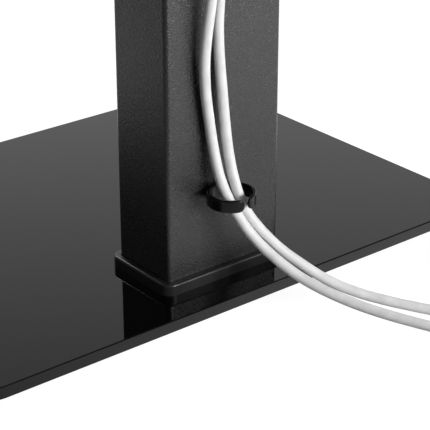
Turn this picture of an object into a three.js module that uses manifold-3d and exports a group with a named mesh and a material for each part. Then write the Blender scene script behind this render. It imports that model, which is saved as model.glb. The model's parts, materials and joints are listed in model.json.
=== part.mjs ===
// Tabletop stand. A black glass base plate carries a rectangular steel column near its rear edge.
// A mast slides in the column and holds a head that swivels and tilts. The head's cross plate has
// two arms that take a screen by its back. Two white leads are clipped to the column's rear face.
// Lengths are in millimetres. Seen from the front, +X is to the right, +Y to the rear and +Z up.
// The origin is on the table, below the middle of the glass.

import * as THREE from 'three';
import { mergeVertices, toCreasedNormals } from 'three/addons/utils/BufferGeometryUtils.js';
import Module from 'manifold-3d';

const wasm = await Module();
wasm.setup();

// Clearances, cuts and facets
const fitGap = 0.3; // between pieces that clear each other
const overrun = 1; // how far a cutting body runs past the faces that it cuts
const weldDistance = 0.0001;
const roundSteps = 18; // facets of a large full round
const smallSteps = 12; // facets of a small one
const smallDiameter = 16; // a round narrower than this is small
const clipSteps = 10; // facets of half a clip
const decimals = 2; // in the figures that are printed
const cornerSteps = 3; // half the facets of a corner's arc
const fineSteps = 8; // facets of the smallest rounds
const creaseAngle = 0.6;

// Glass base plate and its feet
const glassWidth = 413;
const glassDepth = 300;
const glassThickness = 8;
const glassCornerRadius = 30;
const glassArris = 0.8;
const footDiameter = 24;
const footHeight = 9;
const footInset = 34;
const footChamfer = 1.2;

// Clamp plate below the glass, with its pad and bolts
const clampWidth = 190;
const clampDepth = 84;
const clampThickness = 2.5;
const clampRadius = 12;
const clampPadThickness = 1;
const boltDiameter = 8;
const boltHeadDiameter = 15;
const boltHeadHeight = 3.4;
const boltHeadRound = 1.2;
const boltSpacingX = 58;
const boltSpacingY = 26;
const boltEnd = 2; // how far the bolts stand past the foot plate's bosses
const socketAcross = 5;
const socketDepth = 2.4;
const sleeveWall = 1.2;

// Column with its foot plate and collar
const columnSetback = 54; // from the glass's rear edge to the column's middle
const columnWidth = 87;
const columnDepth = 51;
const columnWall = 2;
const columnRadius = 3;
const columnLength = 358;
const footGasketThickness = 1;
const footPlateThickness = 4.5;
const bossDiameter = 14;
const bossHeight = 6;
const collarOverhang = 4.5;
const collarWall = 1.6;
const collarLedge = 1.7;
const collarChamfer = 0.9;

// Mast, its guides and its lock
const guideWall = 1.4;
const guideInsert = 30;
const guideRimHeight = 5;
const guideRimChamfer = 1;
const mastLength = 380;
const mastWall = 2;
const mastRadius = 2.5;
const travelDown = 60;
const travelUp = 60;
const glideSkirtHeight = 8;
const glideSpigotLength = 14;
const glideWall = 3;
const capHeight = 4;
const capSpigotLength = 12;
const capWall = 2;
const capChamfer = 1.2;
const lockBoltDiameter = 8;
const lockBoltDrop = 50; // from the column's top to the upper lock bolt
const lockBoltSpacing = 50;
const lockHeadDiameter = 15;
const lockHeadHeight = 4.2;
const lockFlangeDiameter = 20;
const lockFlangeThickness = 1.5;
const lockBoltEnd = 2;
const lockPlateWidth = 24;
const lockPlateThickness = 5;
const lockPlateEnd = 13;
const slotPlay = 0.5;
const slotEnd = 1;
const linerWidth = 50;
const linerEnd = 16;

// Head bracket on the mast
const headFloorGap = 5; // from the guide's rim to the bracket when the mast is at its lowest
const mastTopMargin = 8;
const bracketHeight = 90;
const bracketWidth = 70;
const bracketSteel = 4;
const bracketEarRadius = 17;
const pivotReach = 32; // from the mast's front face to the swivel axis
const headScrewDiameter = 6;
const headScrewHeadDiameter = 11;
const headScrewHeadHeight = 3.2;
const headScrewSpacingX = 44;
const headScrewSpacingZ = 56;
const headNutDiameter = 12;
const headNutThickness = 5;
const headScrewEnd = 1;

// Swivel pivot and yoke
const pivotDiameter = 12;
const pivotHeadAcross = 19;
const pivotHeadHeight = 7.5;
const pivotNutHeight = 10;
const pivotEnd = 3;
const pivotFlangeDiameter = 24;
const pivotFlangeThickness = 2;
const nylonThickness = 1.5;
const nylonOverhang = 6; // how far a nylon washer reaches past its bolt
const barrelDiameter = 28;
const yokeSteel = 5;
const yokePlateWidth = 92;
const yokePlateHeight = 60;
const yokePlateReach = 18; // from the swivel axis to the yoke plate's rear face
const yokeRibWidth = 18;
const yokeEarRadius = 14;
const yokeCornerRadius = 6;
const tiltReach = 22; // from the yoke plate's front face to the tilt axis
const tiltBoltDiameter = 10;
const tiltHeadAcross = 16;
const tiltHeadHeight = 6.4;
const tiltNutHeight = 8;
const tiltBoltEnd = 2;
const swivelBushWall = 1.2;
const swivelBushLength = 22;

// Cross plate
const crossLength = 430;
const crossHeight = 110;
const crossSteel = 2.5;
const crossRadius = 8;
const crossReach = 24; // from the tilt axis to the cross plate's rear face
const crossEarSteel = 4;
const crossEarHeight = 70;
const crossEarRadius = 14;
const crossWindowDiameter = 56;
const crossSlotLength = 134;
const crossSlotWidth = 9;
const crossSlotSpacing = 66;
const crossSlotMiddle = 132; // from the plate's middle to a slot's middle

// Arms
const armLength = 430;
const armWidth = 30;
const armDepth = 14;
const armSteel = 2;
const armSpread = 150; // from the middle to each arm's middle
const armEndRadius = 9;
const armSlotWidth = 7;
const armSlotInner = 38; // the inner slots' nearer end, from the arm's middle
const armSlotInnerLength = 74;
const armSlotOuter = 126;
const armSlotEnd = 13; // from the outer slots to the arm's ends
const hookReach = 8; // how far a hook hangs behind the cross plate
const hookDrop = 16;
const hookCrown = 12;
const heelDrop = 22; // how far the lower tab reaches below the cross plate
const heelHeight = 14;
const heelBarThickness = 3;
const heelBarWidth = 15;
const lockScrewDiameter = 5;
const lockScrewHeadDiameter = 13;
const lockScrewHeadHeight = 7;
const lockScrewBite = 8; // how far the screw's tip stands up behind the cross plate
const lockScrewFlutes = 12;
const lockScrewFluteRadius = 0.9;

// Cable clips
const clipRadius = 15;
const clipWall = 2.2;
const clipHeight = 9;
const clipChamfer = 0.5;
const clipGap = 3;
const clipTipRadius = 4;
const clipOffset = 7; // from the column's middle, towards +X
const clipPadWidth = 12;
const clipStudDiameter = 5;
const clipStudHeadDiameter = 7.4;
const clipStudHeadHeight = 1.1;
const lowerClipAboveGlass = 59;
const upperClipDrop = 60.5; // from the column's top

// Leads
const leadDiameter = 6.5;
const leadSides = 8;
const leadSteps = 50;
const pathSamples = 12; // for each point of a lead's path
const coilSides = 6;
const coilRadius = 44; // of the outermost turn's middle line
const coilPitch = 7.2; // between the turns, across and up
const coilTurns = 5;
const coilStepsPerTurn = 24;
const climbShare = 0.4; // of a turn, before and after the coil's middle
const coilTail = 78;
const strapThickness = 1;
const strapWidth = 10;
const strapRadius = 4;

// Ends of the leads
const plugWidth = 35;
const plugThickness = 13.6;
const plugLength = 32;
const plugRadius = 5;
const plugChamfer = 1.6;
const pinDiameter = 4;
const pinLength = 19;
const pinSpacing = 18.6;
const pinTip = 1;
const reliefLength = 22;
const reliefDiameter = 10;
const reliefEndDiameter = 7.6;
const couplerWidth = 17;
const couplerThickness = 10;
const couplerLength = 22;
const couplerHoleDiameter = 3;
const couplerHoleSpacing = 8.6;
const couplerHoleDepth = 14;
const couplerChamfer = 1;
const couplerRadius = 4.4;
const coaxBodyDiameter = 13;
const coaxBodyLength = 24;
const coaxRound = 1.6;
const coaxShellDiameter = 9.5;
const coaxShellLength = 12;
const coaxShellWall = 0.7;
const coaxFloor = 2;
const coaxPinDiameter = 2.4;

// Heights, depths and places that follow from the sizes above
const glassTop = footHeight + glassThickness;
const columnY = glassDepth / 2 - columnSetback;
const columnFoot = glassTop + footGasketThickness + footPlateThickness;
const columnTop = columnFoot + columnLength;
const boreWidth = columnWidth - 2 * columnWall;
const boreDepth = columnDepth - 2 * columnWall;
const boreRadius = columnRadius - columnWall;
const mastPlay = guideWall + 2 * fitGap; // between the column's bore and the mast
const mastWidth = boreWidth - 2 * mastPlay;
const mastDepth = boreDepth - 2 * mastPlay;
const bracketFoot = mastLength - mastTopMargin - bracketHeight; // above the mast's lower end
const mastFoot = columnTop + guideRimHeight + headFloorGap + travelDown - bracketFoot;
const upperLockZ = columnTop - lockBoltDrop;
const lowerLockZ = upperLockZ - lockBoltSpacing;
const upperClipAboveGlass = columnTop - glassTop - upperClipDrop;
const armSlotOuterLength = armLength / 2 - armSlotEnd - armSlotOuter;

// Finishes
const finishes = {
  glass: { color: 0x0b0c0d, roughness: 0.04, metalness: 0 },
  rubber: { color: 0x1c1c1c, roughness: 0.9, metalness: 0 },
  paintedSteel: { color: 0x2a2b2d, roughness: 0.62, metalness: 0 },
  zincSteel: { color: 0x9b9ea1, roughness: 0.35, metalness: 1 },
  blackPlastic: { color: 0x141415, roughness: 0.4, metalness: 0 },
  nylon: { color: 0xd9d8d2, roughness: 0.5, metalness: 0 },
  whitePvc: { color: 0xe8e8e6, roughness: 0.45, metalness: 0 },
  strap: { color: 0x1b1b1c, roughness: 0.95, metalness: 0 },
  nickel: { color: 0xb9bab8, roughness: 0.25, metalness: 1 },
};
const materials = Object.fromEntries(
  Object.entries(finishes).map(([name, finish]) => [name, new THREE.MeshStandardMaterial(finish)]),
);

// Solids from geometries, and back

function solid(geometry) {
  const bare = geometry.clone();
  bare.deleteAttribute('normal');
  bare.deleteAttribute('uv');
  const welded = mergeVertices(bare, weldDistance);
  return new wasm.Manifold(
    new wasm.Mesh({
      numProp: 3,
      vertProperties: Float32Array.from(welded.attributes.position.array),
      triVerts: Uint32Array.from(welded.index.array),
    }),
  );
}

function geometryOf(body) {
  const mesh = body.getMesh();
  const geometry = new THREE.BufferGeometry();
  geometry.setAttribute('position', new THREE.BufferAttribute(mesh.vertProperties, mesh.numProp));
  geometry.setIndex(new THREE.BufferAttribute(mesh.triVerts, 1));
  return toCreasedNormals(geometry, creaseAngle);
}

function joined(bodies) {
  return bodies.reduce((sum, body) => sum.add(body));
}

function piece(parent, name, body, material, place = [0, 0, 0]) {
  const geometry = body.isBufferGeometry ? body : geometryOf(body);
  const mesh = new THREE.Mesh(geometry, material);
  mesh.name = name;
  mesh.position.set(...place);
  parent.add(mesh);
  return mesh;
}

function groupAt(parent, x, y, z) {
  const group = new THREE.Group();
  group.position.set(x, y, z);
  parent.add(group);
  return group;
}

// Outlines

function roundedRect(width, height, radius) {
  const x = width / 2 - radius;
  const y = height / 2 - radius;
  const shape = new THREE.Shape();
  shape.absarc(x, y, radius, 0, Math.PI / 2);
  shape.absarc(-x, y, radius, Math.PI / 2, Math.PI);
  shape.absarc(-x, -y, radius, Math.PI, Math.PI * 1.5);
  shape.absarc(x, -y, radius, Math.PI * 1.5, Math.PI * 2);
  shape.closePath();
  return shape;
}

// A root line across the start and a round end about a point that is reach away along +X.
function earOutline(reach, rootHeight, radius) {
  const shape = new THREE.Shape();
  shape.moveTo(0, -rootHeight / 2);
  shape.lineTo(reach, -radius);
  shape.absarc(reach, 0, radius, -Math.PI / 2, Math.PI / 2);
  shape.lineTo(0, rootHeight / 2);
  shape.closePath();
  return shape;
}

// Basic bodies: slabs, blocks, rods and turned pieces stand on z = 0

function slab(shape, height, chamfer = 0) {
  return new THREE.ExtrudeGeometry(shape, {
    depth: height - 2 * chamfer,
    bevelEnabled: chamfer > 0,
    bevelThickness: chamfer,
    bevelSize: chamfer,
    bevelOffset: -chamfer,
    bevelSegments: 1,
    curveSegments: cornerSteps,
  }).translate(0, 0, chamfer);
}

// A slab with only its upper edge cut
function crowned(shape, height, chamfer) {
  const body = solid(slab(shape, height + chamfer, chamfer).translate(0, 0, -chamfer));
  return body.trimByPlane([0, 0, 1], 0);
}

function block(width, depth, height) {
  return new THREE.BoxGeometry(width, depth, height).translate(0, 0, height / 2);
}

function stepsFor(diameter) {
  return diameter < smallDiameter ? smallSteps : roundSteps;
}

function rod(diameter, length, steps = stepsFor(diameter)) {
  return new THREE.CylinderGeometry(diameter / 2, diameter / 2, length, steps)
    .rotateX(Math.PI / 2)
    .translate(0, 0, length / 2);
}

function hexRod(across, length) {
  return rod(across / Math.cos(Math.PI / 6), length, 6);
}

// The profile is a list of [radius, z] that starts and ends on the axis.
function turned(profile) {
  const points = profile.map(([radius, z]) => new THREE.Vector2(radius, z));
  const widest = Math.max(...points.map((point) => point.x));
  return new THREE.LatheGeometry(points, stepsFor(2 * widest)).rotateX(Math.PI / 2);
}

function washer(diameter, hole, thickness) {
  return solid(rod(diameter, thickness)).subtract(drill(hole, thickness));
}

function drill(diameter, depth, steps = stepsFor(diameter)) {
  return solid(rod(diameter, depth + 2 * overrun, steps).translate(0, 0, -overrun));
}

// Lays +Z along +X, +Y, -Y or down
function towardsX(geometry) {
  return geometry.rotateY(Math.PI / 2);
}

function towardsRear(geometry) {
  return geometry.rotateX(-Math.PI / 2);
}

function towardsFront(geometry) {
  return geometry.rotateX(Math.PI / 2);
}

function downwards(geometry) {
  return geometry.rotateX(Math.PI);
}

// Turns an outline drawn in X and Y so that its X runs to the front and its Y runs up
function standingForward(geometry) {
  const basis = new THREE.Matrix4().makeBasis(
    new THREE.Vector3(0, -1, 0),
    new THREE.Vector3(0, 0, 1),
    new THREE.Vector3(-1, 0, 0),
  );
  return geometry.applyMatrix4(basis);
}

function fourPlaces(spacingX, spacingY) {
  const signs = [[-1, -1], [1, -1], [1, 1], [-1, 1]];
  return signs.map(([x, y]) => [(x * spacingX) / 2, (y * spacingY) / 2]);
}

// A bolt that stands on its head: the head's outer face is at z = 0 and the shank runs up.
function panBolt(diameter, headDiameter, headHeight, round, shank) {
  const shankRadius = diameter / 2;
  const headRadius = headDiameter / 2;
  const length = headHeight + shank;
  const body = turned([
    [0, 0],
    [headRadius - round, 0],
    [headRadius, round],
    [headRadius, headHeight],
    [shankRadius, headHeight],
    [shankRadius, length],
    [0, length],
  ]);
  const socket = hexRod(socketAcross, socketDepth + overrun).translate(0, 0, -overrun);
  return solid(body).subtract(solid(socket));
}

function hexBolt(diameter, across, headHeight, shank) {
  const head = solid(hexRod(across, headHeight));
  return head.add(solid(rod(diameter, headHeight + shank)));
}

// Base: glass, feet, clamp plate, pad, bolts and sleeves

const boltHole = boltDiameter + 2 * fitGap;
const sleeveDiameter = boltHole + 2 * sleeveWall;
const glassHole = sleeveDiameter + 2 * fitGap;
const boltPlaces = fourPlaces(boltSpacingX, boltSpacingY);

function holesAtBolts(diameter, depth, y = 0) {
  return joined(boltPlaces.map(([x, dy]) => drill(diameter, depth).translate(x, y + dy, 0)));
}

function glassPlate() {
  const outline = roundedRect(glassWidth, glassDepth, glassCornerRadius);
  return solid(slab(outline, glassThickness, glassArris)).subtract(
    holesAtBolts(glassHole, glassThickness, columnY),
  );
}

function foot() {
  const radius = footDiameter / 2;
  return turned([
    [0, 0],
    [radius - footChamfer, 0],
    [radius, footChamfer],
    [radius, footHeight],
    [0, footHeight],
  ]);
}

function clampSheet(thickness) {
  const outline = roundedRect(clampWidth, clampDepth, clampRadius);
  return solid(slab(outline, thickness)).subtract(holesAtBolts(boltHole, thickness));
}

function baseBolt() {
  const grip = clampThickness + clampPadThickness + glassThickness + footGasketThickness;
  const shank = grip + footPlateThickness + bossHeight + boltEnd;
  return panBolt(boltDiameter, boltHeadDiameter, boltHeadHeight, boltHeadRound, shank);
}

function buildBase(root) {
  const base = groupAt(root, 0, 0, 0);
  piece(base, 'glass_base', glassPlate(), materials.glass, [0, 0, footHeight]);
  const footX = glassWidth / 2 - footInset;
  const footY = glassDepth / 2 - footInset;
  const feet = {
    foot_front_left: [-footX, -footY, 0],
    foot_front_right: [footX, -footY, 0],
    foot_rear_left: [-footX, footY, 0],
    foot_rear_right: [footX, footY, 0],
  };
  for (const [name, place] of Object.entries(feet)) {
    piece(base, name, foot(), materials.rubber, place);
  }
  const padZ = footHeight - clampPadThickness;
  const plateZ = padZ - clampThickness;
  const boltZ = plateZ - boltHeadHeight;
  piece(base, 'clamp_pad', clampSheet(clampPadThickness), materials.rubber, [0, columnY, padZ]);
  piece(base, 'clamp_plate', clampSheet(clampThickness), materials.paintedSteel, [0, columnY, plateZ]);
  boltPlaces.forEach(([x, y], k) => {
    piece(base, `base_bolt_${k + 1}`, baseBolt(), materials.zincSteel, [x, columnY + y, boltZ]);
  });
}

// Column: gasket, foot plate, tube, collar, guide, lock and clips. Its group stands on the glass.

const plateWidth = columnWidth + 2 * (collarOverhang - collarWall - fitGap);
const plateDepth = columnDepth + 2 * (collarOverhang - collarWall - fitGap);
const plateRadius = columnRadius + collarOverhang - collarWall - fitGap;
const footRise = footGasketThickness + footPlateThickness;
const collarHeight = footRise + fitGap + collarLedge;
const lockHole = lockBoltDiameter + 2 * fitGap;
const studHole = clipStudDiameter + 2 * fitGap;

// A gasket with four sleeves that line the glass's holes
function footGasket() {
  const outline = roundedRect(plateWidth, plateDepth, plateRadius);
  const height = glassThickness + footGasketThickness;
  const sleeves = boltPlaces.map(([x, y]) =>
    solid(rod(sleeveDiameter, height).translate(x, y, -glassThickness)),
  );
  const holes = holesAtBolts(boltHole, height).translate(0, 0, -glassThickness);
  return joined([solid(slab(outline, footGasketThickness)), ...sleeves]).subtract(holes);
}

function footPlate() {
  const outline = roundedRect(plateWidth, plateDepth, plateRadius);
  const bosses = boltPlaces.map(([x, y]) =>
    solid(rod(bossDiameter, footPlateThickness + bossHeight).translate(x, y, 0)),
  );
  return joined([solid(slab(outline, footPlateThickness)), ...bosses]).subtract(
    holesAtBolts(boltHole, footPlateThickness + bossHeight),
  );
}

function tube(width, depth, radius, wall, length) {
  const bore = slab(roundedRect(width - 2 * wall, depth - 2 * wall, radius - wall), length + 2 * overrun);
  return solid(slab(roundedRect(width, depth, radius), length)).subtract(
    solid(bore.translate(0, 0, -overrun)),
  );
}

function column() {
  const frontHoles = [upperLockZ, lowerLockZ].map((z) =>
    solid(towardsFront(rod(lockHole, columnDepth)).translate(0, 0, z - columnFoot)),
  );
  const studHoles = [lowerClipAboveGlass, upperClipAboveGlass].map((height) =>
    solid(towardsRear(rod(studHole, columnDepth)).translate(clipOffset, 0, height - footRise)),
  );
  const body = tube(columnWidth, columnDepth, columnRadius, columnWall, columnLength);
  return body.subtract(joined([...frontHoles, ...studHoles]));
}

function collar() {
  const width = columnWidth + 2 * collarOverhang;
  const depth = columnDepth + 2 * collarOverhang;
  const radius = columnRadius + collarOverhang;
  const skirt = roundedRect(width - 2 * collarWall, depth - 2 * collarWall, radius - collarWall);
  const throat = roundedRect(columnWidth + 2 * fitGap, columnDepth + 2 * fitGap, columnRadius + fitGap);
  return crowned(roundedRect(width, depth, radius), collarHeight, collarChamfer)
    .subtract(solid(slab(skirt, collarHeight - collarLedge + overrun).translate(0, 0, -overrun)))
    .subtract(solid(slab(throat, collarHeight + 2 * overrun).translate(0, 0, -overrun)));
}

function guide() {
  const outline = roundedRect(columnWidth, columnDepth, columnRadius);
  const rim = crowned(outline, guideRimHeight, guideRimChamfer);
  const insert = slab(
    roundedRect(boreWidth - 2 * fitGap, boreDepth - 2 * fitGap, boreRadius),
    guideInsert,
  ).translate(0, 0, -guideInsert);
  const throat = slab(
    roundedRect(mastWidth + 2 * fitGap, mastDepth + 2 * fitGap, mastRadius),
    guideInsert + guideRimHeight + 2 * overrun,
  ).translate(0, 0, -guideInsert - overrun);
  return rim.add(solid(insert)).subtract(solid(throat));
}

// The lock's pieces face the front, and the lower bolt is at z = 0.
function lockHoles(diameter, depth) {
  return joined(
    [0, lockBoltSpacing].map((z) =>
      solid(towardsRear(rod(diameter, depth + 2 * overrun)).translate(0, -overrun, z)),
    ),
  );
}

function lockBolt() {
  const grip = columnWall + mastPlay + mastWall + fitGap;
  const shank = lockFlangeThickness + grip + lockPlateThickness + lockBoltEnd;
  const flange = rod(lockFlangeDiameter, lockFlangeThickness).translate(0, 0, lockHeadHeight);
  return panBolt(lockBoltDiameter, lockHeadDiameter, lockHeadHeight, boltHeadRound, shank)
    .add(solid(flange))
    .rotate([-90, 0, 0])
    .translate(0, -lockHeadHeight - lockFlangeThickness, 0);
}

function uprightStrip(width, thickness, end) {
  const strip = block(width, thickness, lockBoltSpacing + 2 * end).translate(0, thickness / 2, -end);
  return solid(strip).subtract(lockHoles(lockHole, thickness));
}

function clip() {
  const inner = clipRadius - clipWall;
  const halfGap = Math.asin(clipGap / 2 / clipRadius);
  const band = new THREE.Shape();
  band.absarc(0, 0, clipRadius, Math.PI / 2 + halfGap, Math.PI * 2.5 - halfGap);
  band.absarc(0, 0, inner, Math.PI * 2.5 - halfGap, Math.PI / 2 + halfGap, true);
  band.closePath();
  const ring = solid(
    new THREE.ExtrudeGeometry(band, {
      depth: clipHeight - 2 * clipChamfer,
      bevelThickness: clipChamfer,
      bevelSize: clipChamfer,
      bevelOffset: -clipChamfer,
      bevelSegments: 1,
      curveSegments: clipSteps,
    }).translate(0, 0, clipChamfer),
  );
  const tipLength = 2 * clipRadius;
  const tipMask = [-1, 1].map((side) =>
    solid(
      towardsRear(slab(roundedRect(tipLength, clipHeight, clipTipRadius), tipLength))
        .translate((side * (clipGap + tipLength)) / 2, 0, clipHeight / 2),
    ),
  );
  const frontMask = solid(
    block(2 * tipLength, tipLength, clipHeight).translate(0, overrun - clipRadius, 0),
  );
  const pad = solid(block(clipPadWidth, clipWall, clipHeight).translate(0, clipWall / 2 - clipRadius, 0));
  const stud = towardsFront(
    turned([
      [0, -clipWall / 2],
      [clipStudDiameter / 2, -clipWall / 2],
      [clipStudDiameter / 2, columnWall + fitGap],
      [clipStudHeadDiameter / 2, columnWall + fitGap],
      [clipStudDiameter / 2, columnWall + fitGap + clipStudHeadHeight],
      [0, columnWall + fitGap + clipStudHeadHeight],
    ]),
  ).translate(0, -clipRadius, clipHeight / 2);
  const hook = ring.intersect(joined([frontMask, ...tipMask]));
  return joined([hook, pad, solid(stud)]);
}

function buildColumn(root) {
  const group = groupAt(root, 0, columnY, glassTop);
  const plateZ = footGasketThickness;
  const tubeZ = columnFoot - glassTop;
  const topZ = columnTop - glassTop;
  piece(group, 'foot_gasket', footGasket(), materials.rubber);
  piece(group, 'foot_plate', footPlate(), materials.paintedSteel, [0, 0, plateZ]);
  piece(group, 'outer_column', column(), materials.paintedSteel, [0, 0, tubeZ]);
  piece(group, 'foot_collar', collar(), materials.blackPlastic);
  piece(group, 'top_guide', guide(), materials.blackPlastic, [0, 0, topZ]);

  const lockZ = lowerLockZ - glassTop;
  const faceY = -columnDepth / 2;
  const linerY = faceY + columnWall;
  const lockPlateY = linerY + mastPlay + mastWall + fitGap;
  const upperZ = lockZ + lockBoltSpacing;
  piece(group, 'lock_bolt_lower', lockBolt(), materials.zincSteel, [0, faceY, lockZ]);
  piece(group, 'lock_bolt_upper', lockBolt(), materials.zincSteel, [0, faceY, upperZ]);
  const liner = uprightStrip(linerWidth, mastPlay - fitGap, linerEnd);
  piece(group, 'lock_liner', liner, materials.blackPlastic, [0, linerY, lockZ]);
  const lockPlate = uprightStrip(lockPlateWidth, lockPlateThickness, lockPlateEnd);
  piece(group, 'lock_plate', lockPlate, materials.zincSteel, [0, lockPlateY, lockZ]);

  const clipY = columnDepth / 2 + clipRadius;
  const clips = { cable_clip_lower: lowerClipAboveGlass, cable_clip_upper: upperClipAboveGlass };
  for (const [name, height] of Object.entries(clips)) {
    piece(group, name, clip(), materials.blackPlastic, [clipOffset, clipY, height - clipHeight / 2]);
  }
}

// Mast with its glide, cap and head bracket. Its group stands at the mast's lower end.

const pivotHole = pivotDiameter + 2 * fitGap;
const screwHole = headScrewDiameter + 2 * fitGap;
const headScrewPlaces = fourPlaces(headScrewSpacingX, headScrewSpacingZ);

function headScrewHoles(depth) {
  return joined(
    headScrewPlaces.map(([x, z]) =>
      solid(towardsRear(rod(screwHole, depth + 2 * overrun)).translate(x, -overrun, z)),
    ),
  );
}

function mast() {
  const slotFoot = lowerLockZ - mastFoot - travelUp;
  const slotTop = upperLockZ - mastFoot + travelDown;
  const slotWidth = lockBoltDiameter + 2 * slotPlay;
  const slotHeight = slotTop - slotFoot + slotWidth + 2 * slotEnd;
  const slot = towardsFront(
    slab(roundedRect(slotWidth, slotHeight, slotWidth / 2), mastWall + 2 * overrun),
  ).translate(0, -mastDepth / 2 + mastWall + overrun, (slotFoot + slotTop) / 2);
  const nutReach = mastWall + headNutThickness;
  const screwMiddle = bracketFoot + bracketHeight / 2;
  const holes = headScrewHoles(nutReach).translate(0, -mastDepth / 2, screwMiddle);
  const weldNuts = headScrewPlaces.map(([x, z]) => {
    const nut = towardsRear(rod(headNutDiameter, headNutThickness + mastWall / 2));
    return solid(nut.translate(x, mastWall / 2 - mastDepth / 2, screwMiddle + z));
  });
  return joined([tube(mastWidth, mastDepth, mastRadius, mastWall, mastLength), ...weldNuts])
    .subtract(solid(slot))
    .subtract(holes);
}

function mastGlide() {
  const spigotWidth = mastWidth - 2 * mastWall - 2 * fitGap;
  const spigotDepth = mastDepth - 2 * mastWall - 2 * fitGap;
  const spigotRadius = mastRadius - mastWall;
  const skirt = slab(
    roundedRect(boreWidth - 2 * fitGap, boreDepth - 2 * fitGap, boreRadius),
    glideSkirtHeight,
  ).translate(0, 0, -glideSkirtHeight);
  const spigot = slab(roundedRect(spigotWidth, spigotDepth, spigotRadius), glideSpigotLength);
  const bore = slab(
    roundedRect(spigotWidth - 2 * glideWall, spigotDepth - 2 * glideWall, mastRadius),
    glideSkirtHeight + glideSpigotLength + 2 * overrun,
  ).translate(0, 0, -glideSkirtHeight - overrun);
  return solid(skirt).add(solid(spigot)).subtract(solid(bore));
}

function mastCap() {
  const crown = crowned(roundedRect(mastWidth, mastDepth, mastRadius), capHeight, capChamfer);
  const spigotWidth = mastWidth - 2 * mastWall - 2 * fitGap;
  const spigotDepth = mastDepth - 2 * mastWall - 2 * fitGap;
  const spigot = tube(spigotWidth, spigotDepth, mastRadius, capWall, capSpigotLength)
    .translate(0, 0, -capSpigotLength);
  return crown.add(spigot);
}

function headBracket() {
  const web = solid(block(bracketWidth, bracketSteel, bracketHeight).translate(0, -bracketSteel / 2, 0))
    .subtract(headScrewHoles(bracketSteel).translate(0, -bracketSteel, bracketHeight / 2));
  const ear = solid(
    slab(earOutline(pivotReach, bracketWidth, bracketEarRadius), bracketSteel).rotateZ(-Math.PI / 2),
  ).subtract(drill(pivotHole, bracketSteel).translate(0, -pivotReach, 0));
  return joined([web, ear, ear.translate(0, 0, bracketHeight - bracketSteel)]);
}

function headScrew() {
  const shank = bracketSteel + mastWall + headNutThickness + headScrewEnd;
  return panBolt(headScrewDiameter, headScrewHeadDiameter, headScrewHeadHeight, boltHeadRound, shank)
    .rotate([-90, 0, 0])
    .translate(0, -headScrewHeadHeight, 0);
}

function pivotBolt() {
  const shank = pivotFlangeThickness + bracketHeight + pivotFlangeThickness + pivotNutHeight + pivotEnd;
  const flange = rod(pivotFlangeDiameter, pivotFlangeThickness).translate(0, 0, pivotHeadHeight);
  return hexBolt(pivotDiameter, pivotHeadAcross, pivotHeadHeight, shank)
    .add(solid(flange))
    .rotate([180, 0, 0]);
}

function pivotNut() {
  const flange = rod(pivotFlangeDiameter, pivotFlangeThickness).translate(0, 0, pivotNutHeight);
  return solid(hexRod(pivotHeadAcross, pivotNutHeight))
    .add(solid(flange))
    .subtract(drill(pivotHole, pivotNutHeight + pivotFlangeThickness));
}

function hexNut(across, hole, height) {
  return solid(hexRod(across, height)).subtract(drill(hole, height));
}

function buildMast(root) {
  const group = groupAt(root, 0, columnY, mastFoot);
  const frontY = -mastDepth / 2;
  const bracketMiddle = bracketFoot + bracketHeight / 2;
  piece(group, 'inner_mast', mast(), materials.paintedSteel);
  piece(group, 'mast_glide', mastGlide(), materials.blackPlastic);
  piece(group, 'mast_cap', mastCap(), materials.blackPlastic, [0, 0, mastLength]);
  piece(group, 'head_bracket', headBracket(), materials.paintedSteel, [0, frontY, bracketFoot]);
  const seatY = frontY - bracketSteel;
  headScrewPlaces.forEach(([x, z], k) => {
    const place = [x, seatY, bracketMiddle + z];
    piece(group, `head_screw_${k + 1}`, headScrew(), materials.zincSteel, place);
  });

  const pivot = groupAt(group, 0, frontY - pivotReach, bracketFoot);
  const headZ = bracketHeight + pivotFlangeThickness + pivotHeadHeight;
  piece(pivot, 'pivot_bolt', pivotBolt(), materials.zincSteel, [0, 0, headZ]);
  const nutZ = -pivotFlangeThickness - pivotNutHeight;
  piece(pivot, 'pivot_nut', pivotNut(), materials.zincSteel, [0, 0, nutZ]);
  return group;
}

// Yoke: turns about the swivel axis. Its group stands at that axis, at the tilt axis's height.

const bushFlangeSeat = nylonThickness + 2 * fitGap; // from a bracket ear to the barrel's end
const barrelHeight = bracketHeight - 2 * bracketSteel - 2 * bushFlangeSeat;
const bushOutside = pivotHole + 2 * swivelBushWall;
const tiltHole = tiltBoltDiameter + 2 * fitGap;
const tiltY = -yokePlateReach - yokeSteel - tiltReach;

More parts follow.
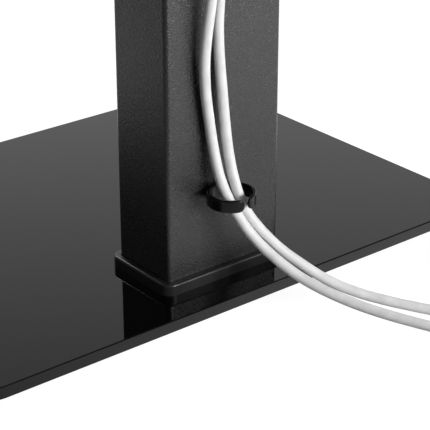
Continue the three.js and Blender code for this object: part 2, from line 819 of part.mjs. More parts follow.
function yoke() {
  const barrel = rod(barrelDiameter, barrelHeight).translate(0, 0, -barrelHeight / 2);
  const ribDepth = yokePlateReach + yokeSteel / 2;
  const rib = block(yokeRibWidth, ribDepth, yokePlateHeight);
  rib.translate(0, -ribDepth / 2, -yokePlateHeight / 2);
  const plate = towardsFront(
    slab(roundedRect(yokePlateWidth, yokePlateHeight, yokeCornerRadius), yokeSteel),
  ).translate(0, -yokePlateReach, 0);
  const ears = [-1, 1].map((side) => {
    const outline = earOutline(tiltReach + yokeSteel, yokePlateHeight, yokeEarRadius);
    const ear = standingForward(slab(outline, yokeSteel));
    const outer = (side * yokePlateWidth) / 2;
    const x = side > 0 ? outer : outer + yokeSteel;
    return solid(ear.translate(x, -yokePlateReach, 0));
  });
  const pivotBore = solid(
    rod(bushOutside + 2 * fitGap, barrelHeight + 2 * overrun).translate(0, 0, -barrelHeight / 2 - overrun),
  );
  const tiltBore = solid(
    towardsX(rod(tiltHole, yokePlateWidth + 2 * overrun)).translate(-yokePlateWidth / 2 - overrun, tiltY, 0),
  );
  const nut = solid(towardsX(hexRod(tiltHeadAcross, tiltNutHeight + yokeSteel / 2)));
  const nutEnd = yokePlateWidth / 2 - yokeSteel / 2;
  const weldNuts = [nut.translate(-nutEnd, tiltY, 0), nut.rotate([0, 180, 0]).translate(nutEnd, tiltY, 0)];
  return joined([solid(barrel), solid(rib), solid(plate), ...ears, ...weldNuts])
    .subtract(pivotBore)
    .subtract(tiltBore);
}

function swivelBush() {
  const flange = solid(rod(pivotDiameter + 2 * nylonOverhang, nylonThickness));
  const length = swivelBushLength + nylonThickness;
  const sleeve = solid(rod(bushOutside, length).translate(0, 0, -swivelBushLength));
  const bore = drill(pivotHole, length).translate(0, 0, -swivelBushLength);
  return flange.add(sleeve).subtract(bore);
}

function buildYoke(parent) {
  const z = bracketFoot + bracketHeight / 2;
  const group = groupAt(parent, 0, -mastDepth / 2 - pivotReach, z);
  piece(group, 'swivel_yoke', yoke(), materials.paintedSteel);
  const flangeZ = barrelHeight / 2 + fitGap;
  piece(group, 'swivel_bush_upper', swivelBush(), materials.nylon, [0, 0, flangeZ]);
  const lower = swivelBush().rotate([180, 0, 0]);
  piece(group, 'swivel_bush_lower', lower, materials.nylon, [0, 0, -flangeZ]);
  return group;
}

// Cross plate with its ears and tilt bolts. Its group stands on the tilt axis.

const crossEarInside = yokePlateWidth / 2 + nylonThickness + 2 * fitGap;
const crossRearY = -crossReach;
const crossFrontY = crossRearY - crossSteel;

function crossSlots() {
  const slots = [];
  for (const [x, z] of fourPlaces(2 * crossSlotMiddle, crossSlotSpacing)) {
    const outline = roundedRect(crossSlotLength, crossSlotWidth, crossSlotWidth / 2);
    const slot = towardsFront(slab(outline, crossSteel + 2 * overrun));
    slots.push(solid(slot.translate(x, crossRearY + overrun, z)));
  }
  return joined(slots);
}

function crossPlate() {
  const plate = towardsFront(
    slab(roundedRect(crossLength, crossHeight, crossRadius), crossSteel),
  ).translate(0, crossRearY, 0);
  const ears = [-1, 1].map((side) => {
    const outline = earOutline(crossReach + crossSteel / 2, crossEarHeight, crossEarRadius);
    const flipped = standingForward(slab(outline, crossEarSteel)).rotateZ(Math.PI);
    const x = side > 0 ? crossEarInside : -crossEarInside - crossEarSteel;
    return solid(flipped.translate(x, crossRearY - crossSteel / 2, 0));
  });
  const window = solid(
    towardsFront(rod(crossWindowDiameter, crossSteel + 2 * overrun)).translate(0, crossRearY + overrun, 0),
  );
  const reach = crossEarInside + crossEarSteel + overrun;
  const tiltBore = solid(towardsX(rod(tiltHole, 2 * reach)).translate(-reach, 0, 0));
  return joined([solid(plate), ...ears]).subtract(joined([window, crossSlots(), tiltBore]));
}

// A tilt bolt's head is at x = 0 and its shank runs towards +X.
function tiltBolt() {
  const grip = crossEarSteel + 2 * fitGap + nylonThickness + yokeSteel;
  const shank = grip + tiltNutHeight + tiltBoltEnd;
  return hexBolt(tiltBoltDiameter, tiltHeadAcross, tiltHeadHeight, shank).rotate([0, 90, 0]);
}

function tiltWasher() {
  return washer(tiltBoltDiameter + 2 * nylonOverhang, tiltHole, nylonThickness).rotate([0, 90, 0]);
}

function buildCross(parent) {
  const group = groupAt(parent, 0, tiltY, 0);
  piece(group, 'cross_plate', crossPlate(), materials.paintedSteel);
  const headX = crossEarInside + crossEarSteel + tiltHeadHeight;
  piece(group, 'tilt_bolt_left', tiltBolt(), materials.zincSteel, [-headX, 0, 0]);
  const turnedBolt = tiltBolt().rotate([0, 180, 0]);
  piece(group, 'tilt_bolt_right', turnedBolt, materials.zincSteel, [headX, 0, 0]);
  const washerX = yokePlateWidth / 2 + fitGap;
  piece(group, 'tilt_washer_left', tiltWasher(), materials.nylon, [-washerX - nylonThickness, 0, 0]);
  piece(group, 'tilt_washer_right', tiltWasher(), materials.nylon, [washerX, 0, 0]);
  return group;
}

// Arms: channels that hook over the cross plate and slide along it. An arm's group stands at the
// cross plate's front face, at its middle height.

const armFaceY = -fitGap - armDepth;
const screwY = crossSteel + hookReach / 2;

function armSlots() {
  const slots = [];
  const rows = [[armSlotInner, armSlotInnerLength], [armSlotOuter, armSlotOuterLength]];
  for (const [start, length] of rows) {
    for (const side of [-1, 1]) {
      const outline = roundedRect(armSlotWidth, length, armSlotWidth / 2);
      const slot = towardsFront(slab(outline, armSteel + 2 * overrun));
      const z = side * (start + length / 2);
      slots.push(solid(slot.translate(0, armFaceY + armSteel + overrun, z)));
    }
  }
  return joined(slots);
}

function armBody() {
  const outline = roundedRect(armWidth, armLength, armEndRadius);
  const channel = solid(towardsFront(slab(outline, armDepth)).translate(0, -fitGap, 0));
  const inside = block(armWidth - 2 * armSteel, armDepth, armLength + 2 * overrun)
    .translate(0, armFaceY + armSteel + armDepth / 2, -armLength / 2 - overrun);
  return channel.subtract(solid(inside));
}

// A hook's cheek is a plate in Y and Z, drawn from the side with its depth along the outline's X.
function cheek(points) {
  const shape = new THREE.Shape(points.map(([y, z]) => new THREE.Vector2(-y, z)));
  return standingForward(slab(shape, armSteel));
}

function armCheeks() {
  const top = crossHeight / 2;
  const front = armFaceY + armSteel;
  const behind = crossSteel + fitGap;
  const back = behind + hookReach;
  const hook = [
    [front, top - hookDrop],
    [front, top + hookCrown],
    [behind, top + hookCrown],
    [back, top + fitGap],
    [back, top - hookDrop],
    [behind, top - hookDrop],
    [behind, top + fitGap],
    [-fitGap, top + fitGap],
    [-fitGap, top - hookDrop],
  ];
  const heelTop = -top - heelDrop + heelHeight;
  const heel = [
    [front, heelTop + heelHeight],
    [-fitGap, heelTop + heelHeight],
    [-fitGap, heelTop],
    [back, heelTop],
    [back, heelTop - heelHeight],
    [front, heelTop - heelHeight],
  ];
  const outside = armWidth / 2;
  const cheeks = [];
  for (const x of [outside, armSteel - outside]) {
    for (const points of [hook, heel]) {
      cheeks.push(solid(cheek(points).translate(x, 0, 0)));
    }
  }
  return { cheeks, barFoot: heelTop - heelHeight, back };
}

function arm() {
  const { cheeks, barFoot, back } = armCheeks();
  const front = back - heelBarWidth;
  const bar = block(armWidth - armSteel, heelBarWidth, heelBarThickness)
    .translate(0, (back + front) / 2, barFoot);
  const screwHoleHere = drill(lockScrewDiameter + 2 * fitGap, heelBarThickness).translate(0, screwY, barFoot);
  return joined([armBody(), ...cheeks, solid(bar)]).subtract(armSlots()).subtract(screwHoleHere);
}

function armScrew() {
  const barFoot = -crossHeight / 2 - heelDrop;
  const tip = -crossHeight / 2 + lockScrewBite;
  const flutes = [];
  for (let k = 0; k < lockScrewFlutes; k += 1) {
    const angle = (2 * Math.PI * k) / lockScrewFlutes;
    const radius = lockScrewHeadDiameter / 2;
    const flute = drill(2 * lockScrewFluteRadius, lockScrewHeadHeight, fineSteps);
    flutes.push(flute.translate(radius * Math.cos(angle), radius * Math.sin(angle), 0));
  }
  const head = solid(rod(lockScrewHeadDiameter, lockScrewHeadHeight)).subtract(joined(flutes));
  const shank = solid(rod(lockScrewDiameter, lockScrewHeadHeight + tip - barFoot));
  return head.add(shank);
}

function buildArms(parent) {
  const sides = { left: -1, right: 1 };
  for (const [side, sign] of Object.entries(sides)) {
    const group = groupAt(parent, sign * armSpread, crossFrontY, 0);
    piece(group, `arm_${side}`, arm(), materials.paintedSteel);
    const screwZ = -crossHeight / 2 - heelDrop - lockScrewHeadHeight;
    piece(group, `arm_screw_${side}`, armScrew(), materials.zincSteel, [0, screwY, screwZ]);
  }
}

// Leads. Each runs from the connector that hangs behind the column, up and over into the upper
// clip, down the rear face, through the lower clip and out to the table, where the rest is coiled.

const powerRoute = [
  [17.5, 198.6, 291], [17.5, 198.6, 314], [17.5, 198.6, 337], [17.2, 196.3, 348.6],
  [16.5, 189.7, 358.5], [15.4, 179.9, 365], [14.2, 168.2, 367.4], [13.1, 156.6, 365],
  [12, 146.8, 358.5], [11.3, 140.2, 348.6], [11, 137.9, 337], [10.9, 137.6, 321],
  [11, 135.4, 300], [12, 133.2, 275], [13.6, 131.8, 250], [15.4, 130.8, 225],
  [16.9, 130, 199.2], [18.6, 128.5, 181.4], [19.8, 127.5, 163.3], [18.7, 126.7, 144.5],
  [15.9, 126.5, 125], [13.3, 127.6, 105.5], [11.8, 131.5, 89], [9.6, 138.3, 75], [6, 143.6, 64.5],
  [2, 148.4, 55.6], [-5, 158.7, 43.6], [-15.6, 174.4, 30.7], [-26.1, 190, 22.5], [-36.5, 205.5, 16.9],
  [-46.7, 220.8, 13.2], [-60.3, 240.9, 9.8], [-71.4, 257.5, 7.6], [-81.4, 272.5, 6],
  [-90.3, 285.8, 4.9],
];
const aerialRoute = [
  [-3.5, 199, 289], [-3.5, 199, 309.5], [-3.5, 199, 330], [-3.2, 196.7, 341.4],
  [-2.5, 190.3, 351], [-1.4, 180.6, 357.5], [-0.2, 169.2, 359.8], [0.9, 157.9, 357.5],
  [2, 148.2, 351], [2.7, 141.8, 341.4], [3, 139.5, 330], [3.2, 137.2, 316],
  [3.7, 134.6, 303], [4.8, 131.5, 280], [5.8, 129, 255], [6.6, 126.8, 226], [7.2, 125.3, 196.1],
  [8.2, 125.5, 178.4], [7.7, 126.1, 160.3], [6.5, 127, 141.7], [5.3, 128, 122.8], [4.1, 129.9, 103.8],
  [3.5, 134.3, 87.6], [2.3, 139.4, 75], [-0.6, 143, 66], [-5.7, 148.5, 56.1], [-14, 157.6, 43.9],
  [-22.4, 166.7, 34.9], [-34.9, 180.5, 23.7], [-47.4, 194.1, 17], [-59.8, 207.7, 12.9],
  [-76.3, 225.7, 9], [-88.5, 239, 7], [-99.3, 250.8, 5.6], [-108.5, 260.8, 4.8],
];
const powerCoilMiddle = [-65.2, 327.4];
const aerialCoilMiddle = [-153.9, 245.2];
const powerCoilEntry = 213.8; // the angle, in degrees, at which the lead meets its coil
const aerialCoilEntry = 42.5;
const coilFloor = leadDiameter / 2 + strapThickness + fitGap; // the lower layer's height

function vectors(points) {
  return points.map(([x, y, z]) => new THREE.Vector3(x, y, z));
}

function roundSection(diameter, sides) {
  const shape = new THREE.Shape();
  for (let k = 0; k < sides; k += 1) {
    const angle = (2 * Math.PI * k) / sides;
    const x = (diameter / 2) * Math.cos(angle);
    const y = (diameter / 2) * Math.sin(angle);
    if (k === 0) shape.moveTo(x, y);
    else shape.lineTo(x, y);
  }
  shape.closePath();
  return shape;
}

function leadPath(points) {
  const path = new THREE.CatmullRomCurve3(points, false, 'centripetal');
  path.arcLengthDivisions = pathSamples * points.length;
  return path;
}

function leadTube(points, sides, steps) {
  const path = leadPath(points);
  const section = roundSection(leadDiameter, sides);
  return new THREE.ExtrudeGeometry(section, { extrudePath: path, steps, bevelEnabled: false });
}

// Where a coil starts, and the way that the lead is going there. Turn is 1 for a coil that winds
// anticlockwise seen from above, and -1 for the other way.
function coilStart(middle, entry, turn) {
  const angle = THREE.MathUtils.degToRad(entry);
  const out = new THREE.Vector3(Math.cos(angle), Math.sin(angle), 0);
  const along = new THREE.Vector3(-turn * out.y, turn * out.x, 0);
  const point = new THREE.Vector3(...middle, coilFloor).addScaledVector(out, coilRadius);
  return { angle, along, point };
}

// Spirals in along the table and out again on top, and climbs round the middle, where it turns back.
function coilPoints(middle, entry, turn) {
  const { angle, along, point } = coilStart(middle, entry, turn);
  const centre = new THREE.Vector3(...middle, 0);
  const points = [point.clone().addScaledVector(along, -leadDiameter)];
  points.push(point.clone().addScaledVector(along, -leadDiameter / 2));
  const last = coilTurns * coilStepsPerTurn;
  for (let k = 0; k <= last; k += 1) {
    const turns = k / coilStepsPerTurn;
    const fromMiddle = Math.abs(turns - coilTurns / 2);
    const climb = THREE.MathUtils.smoothstep(turns, coilTurns / 2 - climbShare, coilTurns / 2 + climbShare);
    const reach = coilRadius - coilPitch * (coilTurns / 2 - fromMiddle);
    const at = angle + turn * turns * 2 * Math.PI;
    const place = new THREE.Vector3(Math.cos(at), Math.sin(at), 0).multiplyScalar(reach).add(centre);
    place.z = coilFloor + climb * coilPitch;
    points.push(place);
  }
  return points;
}

function tailPoints(middle, entry, turn, endHeight) {
  const { along, point } = coilStart(middle, entry, turn);
  const levelShares = [0.12, 0.24, 0.38, 0.52, 0.66, 0.8, 0.9];
  const dropShares = [0, 0.04, 0.2, 0.5, 0.8, 0.97, 1];
  const top = coilFloor + coilPitch;
  return levelShares.map((share, k) => {
    const place = point.clone().addScaledVector(along, share * coilTail);
    place.z = top + (endHeight - top) * dropShares[k];
    return place;
  });
}

function tailEnd(middle, entry, turn, endHeight) {
  const { along, point } = coilStart(middle, entry, turn);
  const place = point.clone().addScaledVector(along, coilTail);
  place.z = endHeight;
  return { place, along };
}

// The least gap between turns, taken over points that are at least half a turn apart.
function leastGap(points) {
  const apart = coilStepsPerTurn / 2;
  let least = Infinity;
  for (let a = 0; a < points.length; a += 1) {
    for (let b = a + apart; b < points.length; b += 1) {
      least = Math.min(least, points[a].distanceTo(points[b]) - leadDiameter);
    }
  }
  return least;
}

function coilTube(name, middle, entry, turn, endHeight) {
  const end = tailEnd(middle, entry, turn, endHeight).place;
  const points = [...coilPoints(middle, entry, turn), ...tailPoints(middle, entry, turn, endHeight), end];
  const path = leadPath(points);
  const steps = coilTurns * coilStepsPerTurn + Math.round(coilTail / leadDiameter);
  const fine = path.getSpacedPoints(steps);
  const gap = leastGap(fine).toFixed(decimals);
  console.log(`${name}: least gap to itself ${gap} mm, length ${path.getLength().toFixed(decimals)} mm`);
  return leadTube(points, coilSides, steps);
}

// The free stretch ends a gap before its coil's start.
function stretchTube(name, route, middle, entry, turn) {
  const { along, point } = coilStart(middle, entry, turn);
  const end = point.clone().addScaledVector(along, -leadDiameter - fitGap);
  const points = [...vectors(route), end];
  const path = leadPath(points);
  console.log(`${name}: length ${path.getLength().toFixed(decimals)} mm`);
  return leadTube(points, leadSides, leadSteps);
}

// A strap round the coil's turns, on the side that faces the given angle.
function strap() {
  const inner = coilRadius - (coilPitch * coilTurns) / 2 - leadDiameter / 2 - fitGap;
  const outer = coilRadius + leadDiameter / 2 + fitGap;
  const width = outer - inner;
  const height = leadDiameter + coilPitch + 2 * fitGap;
  const wall = 2 * strapThickness;
  return tube(width + wall, height + wall, strapRadius, strapThickness, strapWidth)
    .rotate([90, 0, 0])
    .translate((inner + outer) / 2, strapWidth / 2, height / 2 + strapThickness);
}

function relief(length) {
  return turned([
    [0, 0],
    [reliefEndDiameter / 2, 0],
    [reliefDiameter / 2, length],
    [0, length],
  ]);
}

// Each end piece is built with the lead's end at z = 0 and its mouth or pins upwards.
function plugBody() {
  const outline = roundedRect(plugWidth, plugThickness, plugRadius);
  const body = slab(outline, plugLength, plugChamfer).translate(0, 0, reliefLength - plugChamfer);
  return solid(body).add(solid(relief(reliefLength)));
}

function plugPin(side) {
  const radius = pinDiameter / 2;
  const pin = turned([
    [0, 0],
    [radius, 0],
    [radius, pinLength - pinTip],
    [radius - pinTip, pinLength],
    [0, pinLength],
  ]);
  return pin.translate((side * pinSpacing) / 2, 0, reliefLength - plugChamfer + plugLength);
}

function couplerBody() {
  const outline = roundedRect(couplerWidth, couplerThickness, couplerRadius);
  const foot = reliefLength - couplerChamfer;
  const body = solid(slab(outline, couplerLength, couplerChamfer).translate(0, 0, foot));
  const mouth = foot + couplerLength;
  const holes = [-1, 1].map((side) =>
    drill(couplerHoleDiameter, couplerHoleDepth, fineSteps)
      .translate((side * couplerHoleSpacing) / 2, 0, mouth - couplerHoleDepth),
  );
  return body.add(solid(relief(reliefLength))).subtract(joined(holes));
}

function coaxBody() {
  const radius = coaxBodyDiameter / 2;
  const top = reliefLength + coaxBodyLength;
  return turned([
    [0, 0],
    [reliefEndDiameter / 2, 0],
    [reliefDiameter / 2, reliefLength],
    [radius - coaxRound, reliefLength],
    [radius, reliefLength + coaxRound],
    [radius, top - coaxRound],
    [radius - coaxRound, top],
    [0, top],
  ]);
}

function coaxShell() {
  const radius = coaxShellDiameter / 2;
  const pin = coaxPinDiameter / 2;
  return turned([
    [0, 0],
    [radius, 0],
    [radius, coaxShellLength],
    [radius - coaxShellWall, coaxShellLength],
    [radius - coaxShellWall, coaxFloor],
    [pin, coaxFloor],
    [pin, coaxShellLength],
    [0, coaxShellLength],
  ]);
}

// Hangs a body from a lead's upper end, a gap below it
function hangFrom(mesh, route) {
  const [x, y, z] = route[0];
  mesh.position.set(x, y, z - fitGap);
  mesh.rotation.x = Math.PI;
}

// Lays a body on the table at a lead's lower end, a gap past it and pointing the way the lead goes
function layAt(mesh, end) {
  mesh.position.copy(end.place).addScaledVector(end.along, fitGap);
  const side = new THREE.Vector3(0, 0, 1).cross(end.along);
  mesh.quaternion.setFromRotationMatrix(
    new THREE.Matrix4().makeBasis(side, new THREE.Vector3(0, 0, 1), end.along),
  );
}

function buildLeads(root) {
  const leads = groupAt(root, 0, 0, 0);
  const specs = [
    {
      name: 'power_lead',
      route: powerRoute,
      middle: powerCoilMiddle,
      entry: powerCoilEntry,
      turn: -1,
      endHeight: plugThickness / 2,
    },
    {
      name: 'aerial_lead',
      route: aerialRoute,
      middle: aerialCoilMiddle,
      entry: aerialCoilEntry,
      turn: 1,
      endHeight: coaxBodyDiameter / 2,
    },
  ];
  const ends = {};
  for (const { name, route, middle, entry, turn, endHeight } of specs) {
    piece(leads, name, stretchTube(name, route, middle, entry, turn), materials.whitePvc);
    const coil = coilTube(`${name}_coil`, middle, entry, turn, endHeight);
    piece(leads, `${name}_coil`, coil, materials.whitePvc);
    const band = piece(leads, `${name}_strap`, strap(), materials.strap, [...middle, 0]);
    band.rotation.z = THREE.MathUtils.degToRad(entry) + Math.PI / 2;
    ends[name] = tailEnd(middle, entry, turn, endHeight);
  }
  hangFrom(piece(leads, 'power_coupler', couplerBody(), materials.whitePvc), powerRoute);
  layAt(piece(leads, 'power_plug', plugBody(), materials.whitePvc), ends.power_lead);
  layAt(piece(leads, 'power_pin_left', plugPin(-1), materials.nickel), ends.power_lead);
  layAt(piece(leads, 'power_pin_right', plugPin(1), materials.nickel), ends.power_lead);
  const shellShift = reliefLength + coaxBodyLength;
  const shell = coaxShell().translate(0, 0, shellShift);
  hangFrom(piece(leads, 'aerial_plug_upper', coaxBody(), materials.whitePvc), aerialRoute);
  hangFrom(piece(leads, 'aerial_shell_upper', shell.clone(), materials.nickel), aerialRoute);
  layAt(piece(leads, 'aerial_plug_lower', coaxBody(), materials.whitePvc), ends.aerial_lead);
  layAt(piece(leads, 'aerial_shell_lower', shell, materials.nickel), ends.aerial_lead);
}

const stand = new THREE.Group();
buildBase(stand);
buildColumn(stand);
const mastGroup = buildMast(stand);
const yokeGroup = buildYoke(mastGroup);
const crossGroup = buildCross(yokeGroup);
buildArms(crossGroup);
buildLeads(stand);

export default stand;
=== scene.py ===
"""Looks of a tabletop screen stand with a glass plate, a steel column and white leads at the rear.

Lengths are in metres. Seen from the front, +X is to the right, +Y to the rear and +Z up.
"""

import json
import math

import bmesh
import bpy
from mathutils import Matrix, Vector

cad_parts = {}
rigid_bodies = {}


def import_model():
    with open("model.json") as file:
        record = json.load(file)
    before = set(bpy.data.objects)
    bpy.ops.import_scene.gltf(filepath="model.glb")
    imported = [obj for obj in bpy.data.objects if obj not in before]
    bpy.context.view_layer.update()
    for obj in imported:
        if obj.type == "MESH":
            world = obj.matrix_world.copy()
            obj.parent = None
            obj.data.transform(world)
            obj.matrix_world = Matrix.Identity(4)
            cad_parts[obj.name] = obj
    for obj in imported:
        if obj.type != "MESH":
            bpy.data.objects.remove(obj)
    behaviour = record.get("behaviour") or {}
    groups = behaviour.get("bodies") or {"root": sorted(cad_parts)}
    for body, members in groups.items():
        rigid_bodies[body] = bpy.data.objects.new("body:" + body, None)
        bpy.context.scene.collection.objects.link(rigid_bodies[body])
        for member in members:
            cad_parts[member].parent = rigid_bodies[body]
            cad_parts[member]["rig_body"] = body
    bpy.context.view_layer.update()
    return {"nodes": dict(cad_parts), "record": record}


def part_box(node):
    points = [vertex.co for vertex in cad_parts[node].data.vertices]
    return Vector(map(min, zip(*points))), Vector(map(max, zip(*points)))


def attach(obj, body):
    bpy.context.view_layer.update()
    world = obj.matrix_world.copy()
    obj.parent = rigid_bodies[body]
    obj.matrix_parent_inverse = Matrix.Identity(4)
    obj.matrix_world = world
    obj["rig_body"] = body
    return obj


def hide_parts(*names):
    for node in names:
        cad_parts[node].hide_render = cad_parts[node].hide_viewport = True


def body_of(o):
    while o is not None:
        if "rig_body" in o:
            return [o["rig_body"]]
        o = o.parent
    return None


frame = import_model()
NODES = frame["nodes"]
PARTS = {part["node"]: part for part in frame["record"]["subparts"]}

# Camera

CAMERA_PLACE = Vector((0.548899, 0.788652, 0.463634))
CAMERA_ALONG = Vector((-0.57021, -0.70258, -0.42573))
CAMERA_UP = Vector((-0.26828, -0.33056, 0.90485))
CAMERA_LENS = 130.267


def make_camera():
    data = bpy.data.cameras.new("camera")
    data.lens = CAMERA_LENS
    data.sensor_width = 36
    data.clip_end = 50
    camera = bpy.data.objects.new("camera", data)
    bpy.context.scene.collection.objects.link(camera)
    right = CAMERA_ALONG.cross(CAMERA_UP).normalized()
    up = right.cross(CAMERA_ALONG).normalized()
    turn = Matrix((right, up, -CAMERA_ALONG.normalized())).transposed()
    camera.matrix_world = Matrix.Translation(CAMERA_PLACE) @ turn.to_4x4()
    bpy.context.scene.camera = camera


make_camera()

# Sizes and angles of the pieces that are modelled here

HAIR = 0.00001
STRAIGHT = 0.999
SMOOTH_ANGLE = math.radians(32)
MERGE_ANGLE = math.radians(1)
PLATE_EDGE = 0.0003
HOLE_OVERRUN = 0.001
FIT_GAP = 0.0003
GLASS_CORNER = 0.03
GLASS_ARRIS = 0.0008
GLASS_HOLE = 0.0116
GLASS_EDGE_SLOPE = 0.3
COLUMN_CORNER = 0.003
COLUMN_WALL = 0.002
LOCK_HOLE = 0.0086
STUD_HOLE = 0.0056
COLLAR_CORNER = 0.0075
COLLAR_RIM = 0.0014
COLLAR_WALL = 0.0016
COLLAR_LEDGE = 0.0017
CLIP_X = 0.007
CLIP_RADIUS = 0.015
CLIP_WALL = 0.0022
CLIP_TRIM = 0.001
CLIP_GAP = 0.003
CLIP_EDGE = 0.0009
CLIP_TIP = 0.0037
CLIP_PAD = 0.012
CLIP_STEPS = 72
STUD = 0.005
STUD_LENGTH = 0.0023
CROSS_STEEL = 0.0025
CROSS_CORNER = 0.008
CROSS_WINDOW = 0.056
CROSS_SLOT = 0.134
CROSS_SLOT_WIDTH = 0.009
CROSS_SLOT_X = 0.132
CROSS_SLOT_Z = 0.033
EAR_STEEL = 0.004
EAR_ROOT = 0.07
EAR_RADIUS = 0.014
EAR_INSIDE = 0.0481
TILT_HOLE = 0.0106
ARM_WIDTH = 0.03
ARM_STEEL = 0.002
ARM_END = 0.009
ARM_SLOT_WIDTH = 0.007
ARM_SLOTS = ((0.038, 0.074), (0.126, 0.076))
HOOK_REACH = 0.008
HOOK_DROP = 0.016
HOOK_CROWN = 0.012
HEEL_DROP = 0.022
HEEL_HEIGHT = 0.014
HEEL_BAR = 0.015
HEEL_BAR_STEEL = 0.003
ARM_SCREW_HOLE = 0.0056
SOCKET_ACROSS = 0.005
SOCKET_DEPTH = 0.0024
HEAD_ROUND = 0.0012
HEAD_RIM = 0.0002
FLANGE_STEEL = 0.0015
SOFT_EDGES = {
    "clamp_plate": 0.0004,
    "foot_front_left": 0.0006,
    "foot_front_right": 0.0006,
    "foot_rear_left": 0.0006,
    "foot_rear_right": 0.0006,
    "top_guide": 0.0004,
    "inner_mast": 0.0003,
    "mast_cap": 0.0004,
    "mast_glide": 0.0003,
    "head_bracket": 0.0006,
    "swivel_yoke": 0.0006,
    "pivot_bolt": 0.0004,
    "pivot_nut": 0.0004,
    "tilt_bolt_left": 0.0004,
    "tilt_bolt_right": 0.0004,
    "arm_screw_left": 0.0002,
    "arm_screw_right": 0.0002,
    "power_coupler": 0.0004,
    "power_plug": 0.0004,
    "power_pin_left": 0.0002,
    "power_pin_right": 0.0002,
    "aerial_plug_upper": 0.0003,
    "aerial_plug_lower": 0.0003,
    "aerial_shell_upper": 0.00015,
    "aerial_shell_lower": 0.00015,
    "power_lead_strap": 0.0002,
    "aerial_lead_strap": 0.0002,
    "tilt_washer_left": 0.0002,
    "tilt_washer_right": 0.0002,
    "swivel_bush_upper": 0.0002,
    "swivel_bush_lower": 0.0002,
}

# Axis, head width, head height, shank width and flange width of the socket bolts
LOCK_BOLT = (1, 0.015, 0.0042, 0.008, 0.02)
BASE_BOLT = (2, 0.015, 0.0034, 0.008, 0)
HEAD_SCREW = (1, 0.011, 0.0032, 0.006, 0)
SOCKET_BOLTS = {
    "lock_bolt_lower": LOCK_BOLT,
    "lock_bolt_upper": LOCK_BOLT,
    "base_bolt_1": BASE_BOLT,
    "base_bolt_2": BASE_BOLT,
    "base_bolt_3": BASE_BOLT,
    "base_bolt_4": BASE_BOLT,
    "head_screw_1": HEAD_SCREW,
    "head_screw_2": HEAD_SCREW,
    "head_screw_3": HEAD_SCREW,
    "head_screw_4": HEAD_SCREW,
}

# Colours and nodes


def linear(code):
    """An sRGB colour such as 1c1c1c as linear red, green, blue and alpha."""
    parts = [int(code[i : i + 2], 16) / 255 for i in (0, 2, 4)]
    return [c / 12.92 if c <= 0.04045 else ((c + 0.055) / 1.055) ** 2.4 for c in parts] + [1]


def add(tree, kind, inputs=None, **settings):
    """Adds a shader node. An input is a plain value, or another node's output to link."""
    node = tree.nodes.new(kind)
    for key, value in settings.items():
        setattr(node, key, value)
    for key, value in (inputs or {}).items():
        if isinstance(value, bpy.types.NodeSocket):
            tree.links.new(value, node.inputs[key])
        else:
            node.inputs[key].default_value = value
    return node


# Materials. Patterns are sized in millimetres. A pixel of the photo's view is about half a
# millimetre on the column, so a grain that is really finer than that is drawn about that coarse.

MM = 0.001
NOISE_RANGE = {"From Min": 0.3, "From Max": 0.7}


def surface(name, colours, roughness, tone, relief=None, plain=None):
    """A finish whose colour and roughness drift together, with fine bumps over them.

    tone is the drift's size and detail, relief the bumps' size, detail, strength and depth, and
    plain holds the values that are the same all over."""
    material = bpy.data.materials.new(name)
    material.use_nodes = True
    tree = material.node_tree
    tree.nodes.clear()
    place = add(tree, "ShaderNodeTexCoord").outputs["Object"]
    size, detail = tone
    pattern = {"Vector": place, "Scale": 1 / (size * MM), "Detail": detail}
    drift = add(tree, "ShaderNodeTexNoise", pattern).outputs["Fac"]
    share = add(tree, "ShaderNodeMapRange", {"Value": drift, **NOISE_RANGE}).outputs["Result"]
    dark, light = (linear(code) for code in colours)
    colour = add(tree, "ShaderNodeMix", {"Factor": share, 6: dark, 7: light}, data_type="RGBA")
    range_out = {"Value": share, "To Min": roughness[0], "To Max": roughness[1]}
    rough = add(tree, "ShaderNodeMapRange", range_out)
    inputs = {"Base Color": colour.outputs[2], "Roughness": rough.outputs["Result"]}
    if relief:
        size, detail, strength, depth = relief
        pattern = {"Vector": place, "Scale": 1 / (size * MM), "Detail": detail}
        grain = add(tree, "ShaderNodeTexNoise", pattern).outputs["Fac"]
        heights = {"Height": grain, "Strength": strength, "Distance": depth * MM}
        inputs["Normal"] = add(tree, "ShaderNodeBump", heights).outputs["Normal"]
    shader = add(tree, "ShaderNodeBsdfPrincipled", {**inputs, **(plain or {})})
    add(tree, "ShaderNodeOutputMaterial", {"Surface": shader.outputs["BSDF"]})
    return material


# Black powder coat, sprayed on steel and baked: an even orange-peel grain in a low sheen. The
# grain is drawn at 0.77 mm instead of about 0.4, and deeper than it is, so that it shows.
COAT = surface(
    "powder_coated_steel", ("171718", "262627"), (0.24, 0.34), (0.77, 1), (0.77, 1, 1, 0.26),
    {"Specular IOR Level": 0.6},
)
# Opaque black tempered glass, fire-polished: a dark mirror with a faint, broad unevenness.
GLASS = surface(
    "black_tempered_glass", ("010101", "040404"), (0.012, 0.03), (110, 2), plain={"IOR": 1.47}
)
# The glass's ground edge: dull, and a little lighter than the face.
EDGE = surface(
    "ground_glass_edge", ("1c1c1d", "282829"), (0.3, 0.42), (0.45, 2), (0.45, 2, 0.1, 0.05),
    {"Specular IOR Level": 0.5},
)
# Moulded ABS: a soft sheen over the spark-eroded grain of the mould.
BLACK_PLASTIC = surface(
    "black_moulded_abs", ("1c1c1d", "232324"), (0.3, 0.4), (17, 2), (0.53, 2, 0.12, 0.05)
)
# The clips' flexible nylon: deep black, with a narrow shine along its rounded rims.
CLIP_PLASTIC = surface(
    "black_moulded_nylon", ("030303", "060606"), (0.2, 0.28), (17, 2), (0.53, 2, 0.12, 0.05),
    {"Specular IOR Level": 0.3},
)
# Undyed nylon: off-white and waxy.
NYLON = surface("natural_nylon", ("cfcec6", "dddcd5"), (0.42, 0.55), (17, 2), (0.53, 2, 0.12, 0.05))
